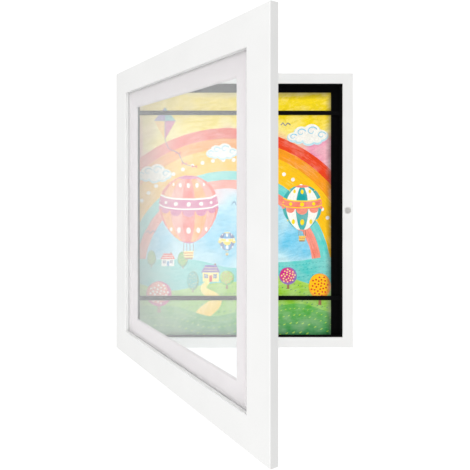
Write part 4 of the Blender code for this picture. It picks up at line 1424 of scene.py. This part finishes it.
@dataclass(frozen=True)
class Kite(Motif):
    """A diamond kite in four colours, with bows on a waving tail."""

    centre: Point
    size: float
    quarters: tuple[Hue, Hue, Hue, Hue]
    tail: tuple[Point, ...]
    bow: Hue
    bow_size: Point = (3.8, 2.2)
    arm: Point = (0.66, 0.18)
    string: float = 0.9

    def dabs(self) -> Iterable[Dab]:
        """The tail, its bows and the kite's quarters."""
        line = flowing([(self.centre[0], self.centre[1] - self.size), *self.tail])
        yield Dab(ribbon(line, self.string), Paint((Hue.NAVY,)))
        for x, z in self.tail:
            for side in (-1, 1):
                end, rise = x + side * self.bow_size[0], self.bow_size[1]
                half = ((x, z), (end, z + rise), (end, z - rise))
                yield Dab(half, Paint((self.bow,), length=3.0, width=0.7))
        arm, rise = self.arm
        corners = scaled(self.centre, self.size, ((0.0, 1.0), (arm, rise), (0.0, -1.0), (-arm, rise)))
        heart = (self.centre[0], self.centre[1] + rise * self.size)
        for hue, first, second in zip(self.quarters, corners, corners[1:] + corners[:1]):
            yield Dab((heart, first, second), Paint((hue,), lean=0.7, length=9.0, width=1.2))
        for first, second in ((corners[0], corners[2]), (corners[1], corners[3])):
            yield Dab(ribbon([first, second], self.string), Paint((Hue.NAVY,)))


@dataclass(frozen=True)
class Strokes(Motif):
    """Single strokes of one paint along smooth lines."""

    lines: tuple[tuple[Point, ...], ...]
    paint: Paint
    start: float
    end: float

    def dabs(self) -> Iterable[Dab]:
        """One dab for each line."""
        for line in self.lines:
            yield Dab(ribbon(flowing(line), self.start, self.end), self.paint)


@dataclass(frozen=True)
class Rainbow(Motif):
    """Broad bands of colour bent across the sky, with a row of dots on the widest."""

    centre: Point
    radii: tuple[float, ...]
    hues: tuple[Hue, ...]
    dotted: float
    dots: int = 34

    def dabs(self) -> Iterable[Dab]:
        """The bands from the outside in, and the dots."""
        for outer, inner, hue in zip(self.radii, self.radii[1:], self.hues):
            along = Paint((hue,), round=self.centre, length=24.0, width=2.2)
            yield Dab(ring_part(self.centre, inner, outer), along)
        for number in range(self.dots):
            spot = polar(self.centre, self.dotted, math.pi * (number + 0.5) / self.dots)
            yield Dab(oval(spot, 2.6, 1.0, 16), Paint((Hue.CHALK,), length=3.0, width=0.8))


@dataclass
class Painting:
    """A child's painting in poster paint: balloons over the hills, under a rainbow.

    The picture is a flat mesh cut along the outline of every dab, in mm on the sheet, and each corner of it
    carries the colour and the brush map of the top dab there.
    """

    width: float
    height: float
    grid: float = 6.0
    wander: float = 0.55
    wander_size: float = 11.0
    hand: int = 1   # a seed of 0 would be the clock's
    horizon: float = 92.0
    sky_patch: float = 34.0
    sky_stir: float = 0.2
    sky_hues: tuple[Hue, ...] = (
        Hue.MIST, Hue.SKY, Hue.SKY, Hue.MIST, Hue.BLUSH, Hue.ROSE, Hue.STRAW, Hue.LEMON, Hue.LEMON
    )
    # painted shade at the right edge: its width in mm, and the share of the colour left at the very edge
    painted_shade_width: float = 8.0
    painted_shade_value: float = 0.26
    # painted light at the left: the share mixed towards white at the left edge, and the width in mm over
    # which it fades
    left_painted_light: float = 0.4
    left_painted_light_width: float = 150.0
    motifs: tuple[Motif, ...] = (
        Rainbow(
            (120.0, 84.0), (196.0, 182.0, 168.0, 138.0, 126.0, 114.0),
            (Hue.CORAL, Hue.APRICOT, Hue.GOLD, Hue.AQUA, Hue.SALMON), 153.0,
        ),
        Cloud((228.0, 268.0), 34.0),
        Cloud((20.0, 216.0), 30.0),
        Cloud((112.0, 246.0), 26.0),
        Kite(
            (34.0, 286.0), 22.0, (Hue.TEAL, Hue.MAGENTA, Hue.GOLD, Hue.VIOLET),
            ((40.0, 252.0), (52.0, 246.0), (60.0, 232.0), (74.0, 228.0)), Hue.SCARLET,
        ),
        Hill(98.0, 6.0, 210.0, 0.6, (Hue.TEAL, Hue.AQUA), Hue.TEAL, 3, 5.0, 1.2),
        Cottage((38.0, 93.0), 17.0, Hue.CHALK, Hue.CORAL, Hue.AZURE),
        Tree((58.0, 90.0), 4.0, 7.0, Hue.LEAF, Hue.PINE, Hue.GOLD, 1.5),
        Tree((16.0, 92.0), 4.0, 6.0, Hue.LEAF, Hue.PINE, Hue.SALMON, 1.7),
        Hill(70.0, 8.0, 240.0, 3.4, (Hue.LEAF, Hue.LIME), Hue.PINE, 4, 6.0, 1.3),
        Strokes(
            (((96.0, 76.0), (86.0, 62.0), (104.0, 46.0), (84.0, 24.0), (92.0, -6.0)),),
            Paint((Hue.GOLD, Hue.STRAW), lean=RIGHT_ANGLE), 3.0, 26.0,
        ),
        Cottage((96.0, 72.0), 22.0, Hue.STRAW, Hue.VIOLET, Hue.SCARLET),
        Tree((118.0, 62.0), 7.0, 10.0, Hue.LIME, Hue.LEAF, Hue.SCARLET),
        Tree((72.0, 58.0), 5.0, 8.0, Hue.TEAL, Hue.PINE, Hue.STRAW, 1.6),
        Hill(34.0, 7.0, 190.0, 1.2, (Hue.PINE, Hue.LEAF), Hue.LIME, 5, 6.0, 1.6),
        Tree((26.0, 30.0), 12.0, 17.0, Hue.SALMON, Hue.MAGENTA, Hue.CHALK, 1.0, 26),
        Tree((150.0, 30.0), 12.0, 15.0, Hue.AQUA, Hue.TEAL, Hue.CORAL, 1.1, 22),
        Tree((200.0, 62.0), 8.0, 12.0, Hue.MAGENTA, Hue.VIOLET, Hue.STRAW, 1.0, 22),
        Tree((243.0, 40.0), 12.0, 15.0, Hue.GOLD, Hue.APRICOT, Hue.SCARLET, 1.15, 26),
        Balloon(
            (66.0, 176.0), 40.0,
            (Hue.CORAL, Hue.APRICOT, Hue.SALMON, Hue.CORAL, Hue.APRICOT, Hue.SALMON, Hue.CORAL),
            Hue.MAGENTA, Hue.CHALK,
        ),
        Balloon(
            (219.0, 176.0), 27.0, (Hue.TEAL, Hue.CHALK, Hue.TEAL, Hue.CHALK, Hue.TEAL),
            Hue.SALMON, Hue.LEMON,
        ),
        Balloon((158.0, 150.0), 17.0, (Hue.VIOLET, Hue.LILAC, Hue.VIOLET, Hue.LILAC), Hue.GOLD, Hue.CHALK),
        Balloon((118.0, 128.0), 11.0, (Hue.NAVY, Hue.AZURE, Hue.NAVY), Hue.LEMON, Hue.CHALK),
        Strokes(
            (
                ((124.0, 176.0), (128.0, 180.0), (132.0, 175.0), (137.0, 180.0), (141.0, 176.0)),
                ((190.0, 284.0), (193.0, 287.0), (196.0, 283.5), (200.0, 287.0), (203.0, 284.0)),
                ((8.0, 138.0), (11.0, 141.0), (14.0, 137.5), (18.0, 141.0), (21.0, 138.0)),
            ),
            Paint((Hue.NAVY,)), 1.0, 1.0,
        ),
    )

    def sky(self, place: Point) -> Colour:
        """The sky's colour: blue below, then pink, and yellow above, run together in patches."""
        patch = noise.noise(Vector((place[0] / self.sky_patch, place[1] / self.sky_patch, 0.0)))
        share = (place[1] - self.horizon) / (self.height - self.horizon) + self.sky_stir * patch
        return Paint(self.sky_hues).colour(share)

    def with_painted_shade_and_light(self, place: Point, colour: Colour) -> Colour:
        """A colour with painted shade that darkens it towards the right edge, and painted light that makes
        it paler towards the left, where the open door shades the sheet.
        """
        # painted shade: darker towards the right edge
        share = min((self.width - place[0]) / self.painted_shade_width, 1.0)
        value = self.painted_shade_value + (1.0 - self.painted_shade_value) * share
        # painted light: paler towards the left, where the open door shades the sheet
        left_painted_light = self.left_painted_light * max(1.0 - place[0] / self.left_painted_light_width, 0.0)
        return (*((part + (1.0 - part) * left_painted_light) * value for part in colour[:3]), 1.0)

    def wandering(self, place: Point) -> Point:
        """A place moved a little, as a hand wanders."""
        drift = noise.noise_vector(Vector((*place, 0.0)) / self.wander_size) * self.wander
        return place[0] + drift.x, place[1] + drift.y

    def shape(self) -> BMesh:
        """Cut the sheet along the dabs' outlines and colour the pieces.

        Returns:
            The flat picture, in mm from the lower left corner, facing up.
        """
        noise.seed_set(self.hand)   # unseeded, noise_vector starts from the clock
        dabs = [dab for motif in self.motifs for dab in motif.dabs()]
        sheet = ((0.0, 0.0), (self.width, 0.0), (self.width, self.height), (0.0, self.height))
        outlines = [sheet] + [leftward([self.wandering(p) for p in dab.outline]) for dab in dabs]
        points, faces = [], []
        for outline in outlines:
            faces.append(list(range(len(points), len(points) + len(outline))))
            points.extend(Vector(point) for point in outline)
        # the columns close to the right edge let the painted shade there ramp smoothly
        steps = int((self.width - self.painted_shade_width) / self.grid)
        columns = [column * self.grid for column in range(1, steps + 1)]
        columns += [self.width - self.painted_shade_width * share for share in (1.0, 0.75, 0.5, 0.25, 0.0)]
        for row in range(1, int(self.height / self.grid)):
            for column in columns:
                points.append(Vector((column, row * self.grid)))
        verts, _, triangles, _, _, owners = geometry.delaunay_2d_cdt(points, [], faces, 1, 1e-5)
        shape = bmesh.new()
        corners = [shape.verts.new((point.x, point.y, 0.0)) for point in verts]
        paint_layer = shape.loops.layers.float_color.new("paint")
        brush_layer = shape.loops.layers.uv.new("brush")
        ground = Paint((Hue.SKY,), lean=0.25, length=16.0, width=5.0)
        spans = [(min(p[1] for p in o), max(p[1] for p in o)) for o in outlines]
        for triangle, owner in zip(triangles, owners):
            if 0 not in owner:
                continue
            face = shape.faces.new([corners[number] for number in triangle])
            top = max(owner)
            paint = dabs[top - 1].paint if top else ground
            low, high = spans[top]
            for loop in face.loops:
                place = (loop.vert.co.x, loop.vert.co.y)
                share = (place[1] - low) / (high - low)
                colour = paint.colour(share) if top else self.sky(place)
                # the colour carries the painted shade at the right edge and the painted light at the left
                loop[paint_layer] = self.with_painted_shade_and_light(place, colour)
                loop[brush_layer].uv = paint.stroke(place)
        bmesh.ops.delete(shape, geom=[v for v in shape.verts if not v.link_faces], context="VERTS")
        LOG.info("painting: %d dabs, %d pieces", len(dabs), len(shape.faces))
        return shape


@dataclass
class ArtSheet:
    """The sheet of paper behind the straps, with the painting on its front."""

    def build(self) -> None:
        """Build the sheet: the painted front, its cut edges and its bare back."""
        low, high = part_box("art_sheet")
        size = (high - low) / MM
        shape = Painting(size.x, size.z).shape()
        rim = [edge for edge in shape.edges if edge.is_boundary]
        made = bmesh.ops.extrude_edge_only(shape, edges=rim)["geom"]
        bmesh.ops.translate(
            shape, vec=(0.0, 0.0, -size.y), verts=[v for v in made if isinstance(v, BMVert)]
        )
        back_rim = [edge for edge in shape.edges if edge.is_boundary]
        back = bmesh.ops.contextual_create(shape, geom=back_rim)["faces"]
        for face in [*back, *(item for item in made if isinstance(item, BMFace))]:
            face.material_index = 1
        bmesh.ops.recalc_face_normals(shape, faces=shape.faces)
        upright = Matrix.Translation(low) @ Matrix.Scale(MM, 4) @ Matrix.Rotation(RIGHT_ANGLE, 4, "X")
        add_piece(
            "painted_sheet", moved(shape, upright), (PosterPaint(), CARTRIDGE_PAPER), "box",
            ["art_sheet"],
        )


# Studio


@dataclass(frozen=True)
class Studio:
    """A plain pale floor, soft light and the camera at the photograph's viewing angle."""

    image_size: float = 470.0
    focal_pixels: float = 476.68
    centre_column: float = 177.35
    centre_row: float = 177.03
    sensor: float = 36.0
    camera_place: tuple[float, float, float] = (-81.63 * MM, -651.54 * MM, 44.82 * MM)
    hanging_height: float = 1300.0 * MM
    floor_radius: float = 900.0 * MM
    surround: float = 0.55
    backdrop: float = 1.1

    def build(self) -> None:
        """Build the studio."""
        self.camera()
        self.world()
        self.floor()
        self.soft_box("front_light", (-4.0, -6.7, 0.6), 6.0, 246.0, mirrored=False)
        self.soft_box("low_light", (-0.7, -2.2, -1.7), 2.0, 24.0, mirrored=False)
        self.soft_box("back_light", (0.9, 3.4, 0.6), 3.0, 56.0, mirrored=False)
        self.soft_box("top_light", (-0.5, -0.4, 2.5), 1.6, 24.0)

    def camera(self) -> None:
        """Place the camera."""
        data = bpy.data.cameras.new("photo_camera")
        data.sensor_width = self.sensor
        data.lens = self.focal_pixels / self.image_size * self.sensor
        data.shift_x = (self.image_size / 2 - self.centre_column) / self.image_size
        data.shift_y = (self.centre_row - self.image_size / 2) / self.image_size
        data.clip_start = 10.0 * MM
        camera = bpy.data.objects.new("photo_camera", data)
        camera.location = self.camera_place
        camera.rotation_euler = (RIGHT_ANGLE, 0.0, 0.0)
        bpy.context.scene.collection.objects.link(camera)
        bpy.context.scene.camera = camera
        bpy.context.scene.view_settings.view_transform = "Standard"

    def world(self) -> None:
        """Surround the frame with even white, which the camera sees as a white backdrop."""
        world = bpy.data.worlds.new("white_studio")
        world.use_nodes = True
        tree = world.node_tree
        tree.nodes.clear()
        path = add_node(tree, "ShaderNodeLightPath")
        seen = add_node(
            tree, "ShaderNodeMath", {"operation": "MAXIMUM"},
            in_0=path.outputs["Is Camera Ray"], in_1=path.outputs["Is Transmission Ray"],
        ).outputs[0]
        strength = add_node(
            tree, "ShaderNodeMix", {"data_type": "FLOAT"}, in_0=seen, in_2=self.surround, in_3=self.backdrop
        ).outputs[0]
        glow = add_node(tree, "ShaderNodeBackground", Color=linear("#FFFFFF"), Strength=strength)
        add_node(tree, "ShaderNodeOutputWorld", Surface=glow.outputs[0])
        bpy.context.scene.world = world

    def floor(self) -> None:
        """Lay a round pale floor far below the hanging frame."""
        shape = bmesh.new()
        bmesh.ops.create_circle(shape, cap_ends=True, radius=self.floor_radius, segments=96)
        bmesh.ops.translate(shape, vec=(0.0, 0.0, -self.hanging_height), verts=shape.verts)
        mesh = mesh_of("floor", shape)
        mesh.materials.append(material_of(FLOOR_PAINT))
        floor = bpy.data.objects.new("floor", mesh)
        bpy.context.scene.collection.objects.link(floor)

    def soft_box(
        self, name: str, place: tuple[float, float, float], size: float, power: float, mirrored: bool = True
    ) -> None:
        """Hang a square soft light that faces the frame.

        Args:
            name: the light's name.
            place: where it hangs, in metres.
            size: its side, in metres.
            power: in watts.
            mirrored: whether glossy surfaces mirror it.
        """
        data = bpy.data.lights.new(name, "AREA")
        data.size = size
        data.energy = power
        light = bpy.data.objects.new(name, data)
        light.visible_glossy = mirrored
        light.location = place
        light.rotation_euler = (-Vector(place)).to_track_quat("-Z", "Y").to_euler()
        bpy.context.scene.collection.objects.link(light)


def main() -> None:
    """Build the frame's pieces in order."""
    logging.basicConfig(level=logging.INFO, format="%(message)s")
    swing = DoorSwing.from_frame()
    Studio().build()
    WallBox().build()
    Door(swing).build()
    ArtSheet().build()
    for level in LEVELS:
        Strap().build("strap_" + level)
    Fittings(swing).build()


if __name__ == "__main__":
    main()
